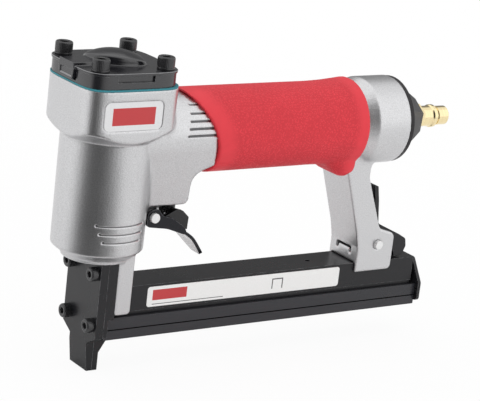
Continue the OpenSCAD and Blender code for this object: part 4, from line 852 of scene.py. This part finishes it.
class STAPLER_OT_finishes(Operator):
    """Builds the shared surface effects and the finishes"""

    bl_idname = "stapler.finishes"
    bl_label = "Finishes"

    def execute(self, context):
        for build in (build_grain, build_wear_and_highlight, build_smudges, build_grinding, build_bar):
            build()
        tone = context.scene.stapler_colours
        cast = finish(
            "Cast aluminium", tone.casting, 0.33, metallic=0.97, grain=0.5 * MM, depth=0.045 * MM,
            speckle=0.13, patch=30 * MM, smudge=0.03,
        )
        # Painted shade in the barrel's lines and the neck's grooves.
        paint_engraving_shade(cast, (0.16, 0.16, 0.165))
        rubber_finish("Pebbled red rubber", tone.rubber)
        # Black enamel: its lighter edges are a painted highlight.
        enamel = finish(
            "Black enamel", tone.enamel, 0.2, specular=1.0, grain=0.6 * MM, depth=0.008 * MM,
            speckle=0.15, wear=(0.2, 0.2, 0.205), wear_and_highlight_radius=0.3 * MM, smudge=0.05,
        )
        # Painted highlight on the cap's edges between top and side, below the washers.
        paint_edge_highlight(enamel, (0.26, 0.26, 0.27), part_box("cap_washers")[0].z)
        finish(
            "Black oxide steel", tone.oxide, 0.22, metallic=0.4, specular=1.0, grain=0.3 * MM,
            depth=0.01 * MM, wear=(0.16, 0.16, 0.16), wear_and_highlight_radius=0.25 * MM,
        )
        # Dark anodised: its lighter edges are a painted highlight.
        finish(
            "Dark anodised", tone.magazine, 0.3, specular=0.4, lines={"Line size": 0.3 * MM},
            depth=0.004 * MM, speckle=0.1, wear=(0.24, 0.24, 0.25), wear_and_highlight_radius=0.25 * MM,
            patch=40 * MM,
        )
        rail = finish(
            "Drawer anodised", tone.drawer, 0.3, specular=0.5, lines={"Line size": 0.3 * MM},
            depth=0.004 * MM, speckle=0.1, patch=40 * MM,
        )
        low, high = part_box("drawer_rail")
        dark_line(
            rail, (low.x + high.x) / 2, low.z + RAIL_LINE_RISE, (high.x - low.x) / 2,
            RAIL_LINE_H / 2,
        )
        blued = finish(
            "Blued steel", tone.trigger, 0.22, metallic=0.6, grain=0.35 * MM, depth=0.008 * MM,
            wear=(0.3, 0.3, 0.32), wear_and_highlight_radius=0.3 * MM,
        )
        # Polished steel and painted reflection on the lower front face of the trigger blade.
        polish_and_reflection_below(blued, (0.62, 0.62, 0.63), start=69 * MM, full=64 * MM)
        finish(
            "Bright steel", tone.steel, 0.27, metallic=1.0, depth=0.004 * MM, speckle=0.1,
            lines={"Line size": 0.2 * MM, "Along X": 0.05},
        )
        finish(
            "Turned brass", tone.brass, 0.11, metallic=1.0, depth=0.004 * MM, speckle=0.08,
            lines={"Line size": 0.25 * MM, "Along X": 1.0, "Along Y": 0.02, "Along Z": 0.02},
        )
        finish("Gasket sheet", tone.gasket, 0.55, grain=0.3 * MM, depth=0.02 * MM, speckle=0.2)
        finish("Black rubber", (0.02, 0.02, 0.02), 0.5, grain=0.3 * MM, depth=0.01 * MM)
        finish(
            "Black plastic", (0.006, 0.006, 0.007), 0.26, grain=0.4 * MM, depth=0.008 * MM,
            wear=(0.05, 0.05, 0.05),
        )
        finish(
            "End cap plastic", (0.024, 0.022, 0.024), 0.36, specular=0.25, grain=0.5 * MM,
            depth=0.012 * MM, wear=(0.09, 0.09, 0.09),
        )
        finish("Urethane", (0.42, 0.25, 0.08), 0.35, grain=0.6 * MM, depth=0.01 * MM)
        finish(
            "White acetal", (0.78, 0.77, 0.73), 0.4, grain=0.4 * MM, depth=0.006 * MM,
            speckle=0.03,
        )
        finish(
            "Hard anodised", (0.42, 0.43, 0.45), 0.35, metallic=0.8, grain=0.3 * MM,
            depth=0.006 * MM,
        )
        finish(
            "Pale pin steel", (0.86, 0.86, 0.86), 0.4, metallic=0.5, grain=0.3 * MM,
            depth=0.006 * MM, speckle=0.04,
        )
        return {"FINISHED"}


class STAPLER_OT_casting(Operator):
    """Makes the cast body with rounded edges, filleted junctions and engraved lines"""

    bl_idname = "stapler.casting"
    bl_label = "Cast body"

    def execute(self, context):
        form = context.scene.stapler_forms
        piece = copy_node("housing", "cast_body")
        remesh(piece, form.casting_voxel)
        hollows = casting_hollows(*mesh_arrays(piece.data), form.casting_voxel)
        bands = np.array([in_bands(vert.co) for vert in piece.data.vertices])
        smooth(piece, form.junction_passes, weight_group(piece, "junctions", hollows * ~bands))
        smooth(piece, form.casting_passes)
        plain = weight_group(piece, "plain", np.where(bands, 0.0, 1.0))
        thin_out(piece, CASTING_SHARE, plain)
        engrave(piece.data, form)
        settle(piece, "Cast aluminium", "housing")
        return {"FINISHED"}


class STAPLER_OT_grip(Operator):
    """Makes the rubber grip as one soft sleeve with rounded rims"""

    bl_idname = "stapler.grip"
    bl_label = "Rubber grip"

    def execute(self, context):
        form = context.scene.stapler_forms
        piece = copy_node("grip_sleeve", "rubber_grip")
        remesh(piece, form.grip_voxel)
        smooth(piece, form.grip_passes)
        points, normals, edges = mesh_arrays(piece.data)
        x, y, z = points.T / MM
        lobe = (x > LOBE_X) & (z < LOBE_TOP_Z) & (np.hypot(y, z - HANDLE_Z) > LOBE_R)
        lobe &= bend_of(points, normals, edges) > LOBE_BEND
        smooth(piece, LOBE_PASSES, weight_group(piece, "lobe", np.where(lobe, 1.0, 0.0)))
        thin_out(piece, GRIP_SHARE)
        settle(piece, "Pebbled red rubber", "grip_sleeve")
        return {"FINISHED"}


def dome_weights(points):
    """Weights of the deflector's lens shaped dome, whose rim and tips are rounded."""
    plate_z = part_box("cap_washers")[0].z
    low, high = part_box("cap_screws")
    x = (points[:, 0] - (low.x + high.x) / 2) / MM
    y = points[:, 1] / MM
    across = x * math.cos(DOME_TURN) + y * math.sin(DOME_TURN)
    along = y * math.cos(DOME_TURN) - x * math.sin(DOME_TURN)
    reach = np.hypot(np.abs(across) + DOME_ARC_R - DOME_W / 2, along) - DOME_ARC_R
    weights = np.clip((DOME_RIM - reach) / DOME_FADE, 0, 1)
    return np.where(points[:, 2] > plate_z - DOME_SINK, weights, 0.0)


class STAPLER_OT_cap(Operator):
    """Finishes the cap, its exhaust deflector, the gasket and the washers"""

    bl_idname = "stapler.cap"
    bl_label = "Cap and deflector"

    def execute(self, context):
        form = context.scene.stapler_forms
        soften("cylinder_cap", "Black enamel", form.cap_edge)
        deflector = copy_node("exhaust_deflector", "exhaust_deflector_form")
        remesh(deflector, form.cap_voxel)
        points, _, _ = mesh_arrays(deflector.data)
        smooth(deflector, DEFLECTOR_PASSES)
        dome = weight_group(deflector, "dome", dome_weights(points))
        smooth(deflector, form.dome_passes, dome)
        thin_out(deflector, DEFLECTOR_SHARE)
        settle(deflector, "Black enamel", "exhaust_deflector")
        soften("head_gasket", "Gasket sheet", GASKET_EDGE)
        soften("cap_washers", "Black oxide steel", WASHER_EDGE)
        return {"FINISHED"}


def add_socket_screw(shape, place, head_r, shank_l, size, form):
    """Adds one socket head cap screw with a ribbed head, standing on the origin of place."""
    head_h, shank_r, socket_r = size["head_h"], size["shank_r"], size["socket_r"]
    floor_z = head_h - size["socket_depth"]
    ribs, edge = form.knurl_ribs, SCREW_EDGE
    around = ribs * POINTS_PER_RIB

    def ribbed(turn):
        return head_r - form.knurl_depth * (0.5 + 0.5 * math.cos(ribs * turn))

    def hexagon(turn):
        part = (turn + math.pi / 6) % (math.pi / 3) - math.pi / 6
        return socket_r * math.cos(math.pi / 6) / math.cos(part)

    # Radius and height of each ring, from the foot of the shank over the head into the socket
    rings = [
        (shank_r * 0.8, -shank_l), (shank_r, -shank_l + SCREW_CHAMFER), (shank_r, 0.0),
        (head_r - edge, 0.0), (head_r - 0.3 * edge, 0.3 * edge), (ribbed, 2 * edge),
        (ribbed, head_h - 2.5 * edge), (head_r - 0.2 * edge, head_h - 1.6 * edge),
        (head_r - edge, head_h - 0.5 * edge), (head_r - 2 * edge, head_h),
        (socket_r + 0.8 * edge, head_h), (hexagon, head_h - 0.8 * edge), (hexagon, floor_z),
    ]
    made = []
    for radius, height in rings:
        ring = []
        for k in range(around):
            turn = 2 * math.pi * k / around
            r = radius(turn) if callable(radius) else radius
            point = Vector((r * math.cos(turn), r * math.sin(turn), height))
            ring.append(shape.verts.new(place @ point))
        made.append(ring)
    for lower, upper in zip(made, made[1:]):
        for k in range(around):
            n = (k + 1) % around
            shape.faces.new((lower[k], lower[n], upper[n], upper[k]))
    foot = shape.verts.new(place @ Vector((0, 0, -shank_l)))
    pit = shape.verts.new(place @ Vector((0, 0, floor_z - SOCKET_POINT)))
    for k in range(around):
        n = (k + 1) % around
        shape.faces.new((made[0][n], made[0][k], foot))
        shape.faces.new((made[-1][k], made[-1][n], pit))


def solids_of(node):
    """Boxes of the separate solids in a CAD node."""
    shape = welded(NODES[node].data)
    boxes, seen = [], set()
    for vert in shape.verts:
        if vert in seen:
            continue
        stack, members = [vert], []
        seen.add(vert)
        while stack:
            here = stack.pop()
            members.append(here.co.copy())
            for edge in here.link_edges:
                other = edge.other_vert(here)
                if other not in seen:
                    seen.add(other)
                    stack.append(other)
        boxes.append((Vector(map(min, *members)), Vector(map(max, *members))))
    shape.free()
    return boxes


def screw_set(node, name, axis, size, form):
    """Puts ribbed screws, with their heads towards axis, in the place of a CAD node."""
    shape = bmesh.new()
    turn = Vector((0, 0, 1)).rotation_difference(axis).to_matrix().to_4x4()
    for low, high in solids_of(node):
        box = high - low
        reach = abs(box.dot(axis))
        head_r = min(box[k] for k in range(3) if abs(axis[k]) < 0.5) / 2
        shank_l = reach - size["head_h"]
        seat = (low + high) / 2 + axis * (reach / 2 - size["head_h"])
        add_socket_screw(shape, Matrix.Translation(seat) @ turn, head_r, shank_l, size, form)
    bmesh.ops.recalc_face_normals(shape, faces=shape.faces)
    piece = add_object(name, keep_shape(shape, bpy.data.meshes.new(name)))
    piece.data.shade_smooth()
    piece.data.set_sharp_from_angle(angle=SHARP_TURN)
    stand_for(piece, "Black oxide steel", node)


class STAPLER_OT_screws(Operator):
    """Makes the ribbed socket screws on the cap and the nose, and finishes the end plate's"""

    bl_idname = "stapler.screws"
    bl_label = "Screws"

    def execute(self, context):
        form = context.scene.stapler_forms
        screw_set("cap_screws", "cap_socket_screws", Vector((0, 0, 1)), CAP_SCREW, form)
        screw_set("nose_screws", "nose_socket_screws", Vector((-1, 0, 0)), NOSE_SCREW, form)
        soften("end_plate_screws", "Bright steel", form.turned_edge)
        return {"FINISHED"}


class STAPLER_OT_nose(Operator):
    """Finishes the two nose plates"""

    bl_idname = "stapler.nose"
    bl_label = "Nose"

    def execute(self, context):
        form = context.scene.stapler_forms
        soften("front_plate", "Dark anodised", form.sheet_edge * 1.4)
        soften("guide_plate", "Dark anodised", form.sheet_edge)
        return {"FINISHED"}


class STAPLER_OT_trigger(Operator):
    """Finishes the trigger, its insert, its pin and the valve's body"""

    bl_idname = "stapler.trigger"
    bl_label = "Trigger"

    def execute(self, context):
        form = context.scene.stapler_forms
        soften("trigger", "Blued steel", form.sheet_edge)
        soften("trigger_insert", "Black plastic", form.sheet_edge)
        soften("trigger_pin", "Pale pin steel", form.turned_edge * 2)
        soften("valve_body", "Black plastic", form.cap_edge * 0.6)
        return {"FINISHED"}


class STAPLER_OT_magazine(Operator):
    """Finishes the magazine channel, the drawer and the core and pusher in it"""

    bl_idname = "stapler.magazine"
    bl_label = "Magazine"

    def execute(self, context):
        form = context.scene.stapler_forms
        for node in ("magazine_channel", "end_plate"):
            soften(node, "Dark anodised", form.sheet_edge)
        soften("drawer_rail", "Drawer anodised", form.sheet_edge * 0.5)
        for node in ("staple_rail", "staple_pusher"):
            soften(node, "Bright steel", form.sheet_edge * 0.7)
        return {"FINISHED"}


class STAPLER_OT_latch(Operator):
    """Finishes the latch lever and its pin"""

    bl_idname = "stapler.latch"
    bl_label = "Latch"

    def execute(self, context):
        form = context.scene.stapler_forms
        soften("latch_lever", "Dark anodised", form.cap_edge)
        soften("latch_pin", "Pale pin steel", form.turned_edge * 2)
        return {"FINISHED"}


class STAPLER_OT_air_inlet(Operator):
    """Finishes the end cap and the air plug"""

    bl_idname = "stapler.air_inlet"
    bl_label = "Air inlet"

    def execute(self, context):
        form = context.scene.stapler_forms
        soften("end_cap", "End cap plastic", form.cap_edge * 0.6)
        soften("air_nipple", "Turned brass", form.turned_edge)
        return {"FINISHED"}


class STAPLER_OT_plates(Operator):
    """Finishes the plain name plate and the plain magazine label"""

    bl_idname = "stapler.plates"
    bl_label = "Plates and label"

    def execute(self, context):
        tone = context.scene.stapler_colours
        low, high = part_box("name_plate")
        middle, size = (low + high) / 2, high - low
        field = (tone.field, middle.x, middle.z, 0.37 * size.x, 0.3 * size.z)
        print_finish("Name plate", tone.plate, [field])
        soften("name_plate", "Name plate", PLATE_EDGE)
        low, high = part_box("magazine_label")
        middle_z = (low.z + high.z) / 2
        bars = [
            (tone.field, low.x + 13 * MM, middle_z + 0.8 * MM, 10 * MM, 2.7 * MM),
            (INK, low.x + 24 * MM, low.z + 1.3 * MM, 21 * MM, 0.18 * MM),
            (INK, low.x + 78 * MM, middle_z + 2.4 * MM, 3.4 * MM, 0.3 * MM),
            (INK, low.x + 74.9 * MM, middle_z - 0.2 * MM, 0.3 * MM, 2.6 * MM),
            (INK, low.x + 81.1 * MM, middle_z - 0.2 * MM, 0.3 * MM, 2.6 * MM),
        ]
        print_finish("Magazine label", tone.label, bars)
        soften("magazine_label", "Magazine label", LABEL_EDGE)
        return {"FINISHED"}


class STAPLER_OT_springs(Operator):
    """Puts a finished copy of each spring in the place of its CAD node"""

    bl_idname = "stapler.springs"
    bl_label = "Springs"

    def execute(self, context):
        for node, (axis, joint, stroke) in SPRING_STROKES.items():
            low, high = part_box(node)
            free = getattr(high, axis) - getattr(low, axis)
            piece = copy_node(node, node + "_form")
            settle(piece, "Bright steel", node)
            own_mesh(piece)
        return {"FINISHED"}


class STAPLER_OT_inner_pieces(Operator):
    """Gives the other pieces inside their finishes"""

    bl_idname = "stapler.inner_pieces"
    bl_label = "Inner pieces"

    def execute(self, context):
        for name, nodes in INNER_FINISHES.items():
            for node in nodes:
                coat_piece(NODES[node], bpy.data.materials[name])
        return {"FINISHED"}


def view_axes(stage):
    """Right, up and back of the camera."""
    level_cos = math.cos(stage.dip)
    view = Vector((
        math.sin(stage.turn) * level_cos, math.cos(stage.turn) * level_cos, -math.sin(stage.dip)
    ))
    level = Vector((math.cos(stage.turn), -math.sin(stage.turn), 0))
    rise = level.cross(view)
    right = math.cos(stage.roll) * level + math.sin(stage.roll) * rise
    up = math.cos(stage.roll) * rise - math.sin(stage.roll) * level
    return right, up, -view


def add_lamp(name, power, size, place, aim):
    lamp = bpy.data.lights.new(name, "AREA")
    lamp.energy = power
    lamp.shape = "SQUARE"
    lamp.size = size
    made = add_object(name, lamp)
    made.location = place
    made.rotation_mode = "QUATERNION"
    made.rotation_quaternion = (aim - place).to_track_quat("-Z", "Y")


def mix_shaders(tree, share, first, second):
    inputs = {0: share, 1: first.outputs[0], 2: second.outputs[0]}
    return make_node(tree, "ShaderNodeMixShader", inputs)


def build_room(stage, wall, mirrored):
    """White surroundings, with a dark wall and a dim side beyond that only reflections show."""
    world = bpy.data.worlds.new("Studio")
    world.use_nodes = True
    tree = world.node_tree
    tree.nodes.clear()
    path = tree.nodes.new("ShaderNodeLightPath").outputs
    sky = tree.nodes.new("ShaderNodeTexCoord").outputs["Generated"]
    dim = ease(tree, dot(tree, sky, wall), *WALL_SPAN, *WALL_SHADES)
    beyond = ease(tree, dot(tree, sky, mirrored), *BEYOND_SPAN, *BEYOND_SHADES)
    shown = mix_colours(tree, path["Is Camera Ray"], times(tree, dim, beyond), WHITE)
    seen = make_node(tree, "ShaderNodeBackground", {"Color": shown, "Strength": 1.0})
    light = make_node(
        tree, "ShaderNodeBackground", {"Color": WHITE, "Strength": stage.room_light}
    )
    direct = path["Is Camera Ray"]
    for ray in ("Is Glossy Ray", "Is Transmission Ray"):
        direct = maths(tree, "MAXIMUM", direct, path[ray])
    mixed = mix_shaders(tree, direct, light, seen)
    output = tree.nodes.new("ShaderNodeOutputWorld")
    link(tree, mixed.outputs[0], output.inputs["Surface"])
    bpy.context.scene.world = world


def floor_finish(wall):
    """Pale floor that fades into the white, with a strip that is dim in reflections only."""
    made = bpy.data.materials.new("Pale floor")
    made.use_nodes = True
    tree = made.node_tree
    tree.nodes.clear()
    place = own_place(tree)
    away = vector_maths(tree, "LENGTH", place)["Value"]
    cloud = noise(tree, place, 40.0, 3.0)
    pale = mix_colours(tree, cloud, rgba([FLOOR_LOW] * 3), rgba([FLOOR_HIGH] * 3))
    path = tree.nodes.new("ShaderNodeLightPath").outputs
    ahead = vector_maths(tree, "NORMALIZE", place)[0]
    towards = dot(tree, ahead, Vector((wall.x, wall.y, 0)).normalized())
    strip = times(
        tree, ease(tree, towards, *FLOOR_STRIP), ease(tree, away, *FLOOR_STRIP_START),
        path["Is Glossy Ray"],
    )
    pale = mix_colours(tree, strip, pale, rgba([FLOOR_DIM] * 3))
    matt = make_node(tree, "ShaderNodeBsdfDiffuse", {"Color": pale})
    white = make_node(tree, "ShaderNodeEmission", {"Color": WHITE, "Strength": 1.0})
    clear = tree.nodes.new("ShaderNodeBsdfTransparent")
    near = mix_shaders(tree, times(tree, path["Is Camera Ray"], FLOOR_LIFT), matt, white)
    mixed = mix_shaders(tree, ease(tree, away, *FLOOR_FADE), near, clear)
    output = tree.nodes.new("ShaderNodeOutputMaterial")
    link(tree, mixed.outputs[0], output.inputs["Surface"])
    return made


class STAPLER_OT_stage(Operator):
    """Makes the camera, the pale floor and the studio light"""

    bl_idname = "stapler.stage"
    bl_label = "Stage"

    def execute(self, context):
        scene = context.scene
        stage = scene.stapler_stage
        right, up, back = view_axes(stage)
        camera = add_object("Photo view", bpy.data.cameras.new("Photo view"))
        camera.data.lens = stage.lens
        facing = Matrix((right, up, back)).transposed().to_4x4()
        camera.matrix_world = Matrix.Translation(stage.eye) @ facing
        scene.camera = camera
        scene.view_settings.view_transform = "Standard"

        low, high = CAD_BOX
        middle = (low + high) / 2
        shape = bmesh.new()
        bmesh.ops.create_circle(
            shape, cap_ends=True, segments=FLOOR_SIDES, radius=stage.floor_radius
        )
        floor = add_object("Floor", keep_shape(shape, bpy.data.meshes.new("Floor")))
        floor.location = (middle.x, middle.y, low.z - FLOOR_GAP)
        wall = math.cos(stage.wall_turn) * back - math.sin(stage.wall_turn) * right
        coat_piece(floor, floor_finish(wall))

        for name, (power, size, offset) in LAMPS.items():
            add_lamp(name, getattr(stage, power), size, middle + Vector(offset), middle)
        build_room(stage, wall, Vector((-back.x, -back.y, back.z)))
        return {"FINISHED"}


PIECES = (
    STAPLER_OT_finishes, STAPLER_OT_stage, STAPLER_OT_casting, STAPLER_OT_grip, STAPLER_OT_cap,
    STAPLER_OT_screws, STAPLER_OT_nose, STAPLER_OT_trigger, STAPLER_OT_magazine,
    STAPLER_OT_latch, STAPLER_OT_air_inlet, STAPLER_OT_plates, STAPLER_OT_springs,
    STAPLER_OT_inner_pieces,
)
GROUPS = {
    "stapler_forms": StaplerForms,
    "stapler_colours": StaplerColours,
    "stapler_stage": StaplerStage,
}


class STAPLER_PT_pieces(Panel):
    """Lists the stapler's pieces and their settings"""

    bl_idname = "STAPLER_PT_pieces"
    bl_label = "Stapler"
    bl_space_type = "VIEW_3D"
    bl_region_type = "UI"
    bl_category = "Stapler"

    def draw(self, context):
        for piece in PIECES:
            self.layout.operator(piece.bl_idname)
        for name, group in GROUPS.items():
            box = self.layout.box()
            for key in group.__annotations__:
                box.prop(getattr(context.scene, name), key)


def register():
    for group in GROUPS.values():
        bpy.utils.register_class(group)
    for name, group in GROUPS.items():
        setattr(bpy.types.Scene, name, PointerProperty(type=group))
    for made in (*PIECES, STAPLER_PT_pieces):
        bpy.utils.register_class(made)


def unregister():
    for made in (STAPLER_PT_pieces, *reversed(PIECES)):
        bpy.utils.unregister_class(made)
    for name in GROUPS:
        delattr(bpy.types.Scene, name)
    for group in GROUPS.values():
        bpy.utils.unregister_class(group)


def main():
    register()
    bpy.ops.stapler.finishes()
    bpy.ops.stapler.stage()
    bpy.ops.stapler.casting()
    bpy.ops.stapler.grip()
    bpy.ops.stapler.cap()
    bpy.ops.stapler.screws()
    bpy.ops.stapler.nose()
    bpy.ops.stapler.trigger()
    bpy.ops.stapler.magazine()
    bpy.ops.stapler.latch()
    bpy.ops.stapler.air_inlet()
    bpy.ops.stapler.plates()
    bpy.ops.stapler.springs()
    bpy.ops.stapler.inner_pieces()


if __name__ == "__main__":
    main()
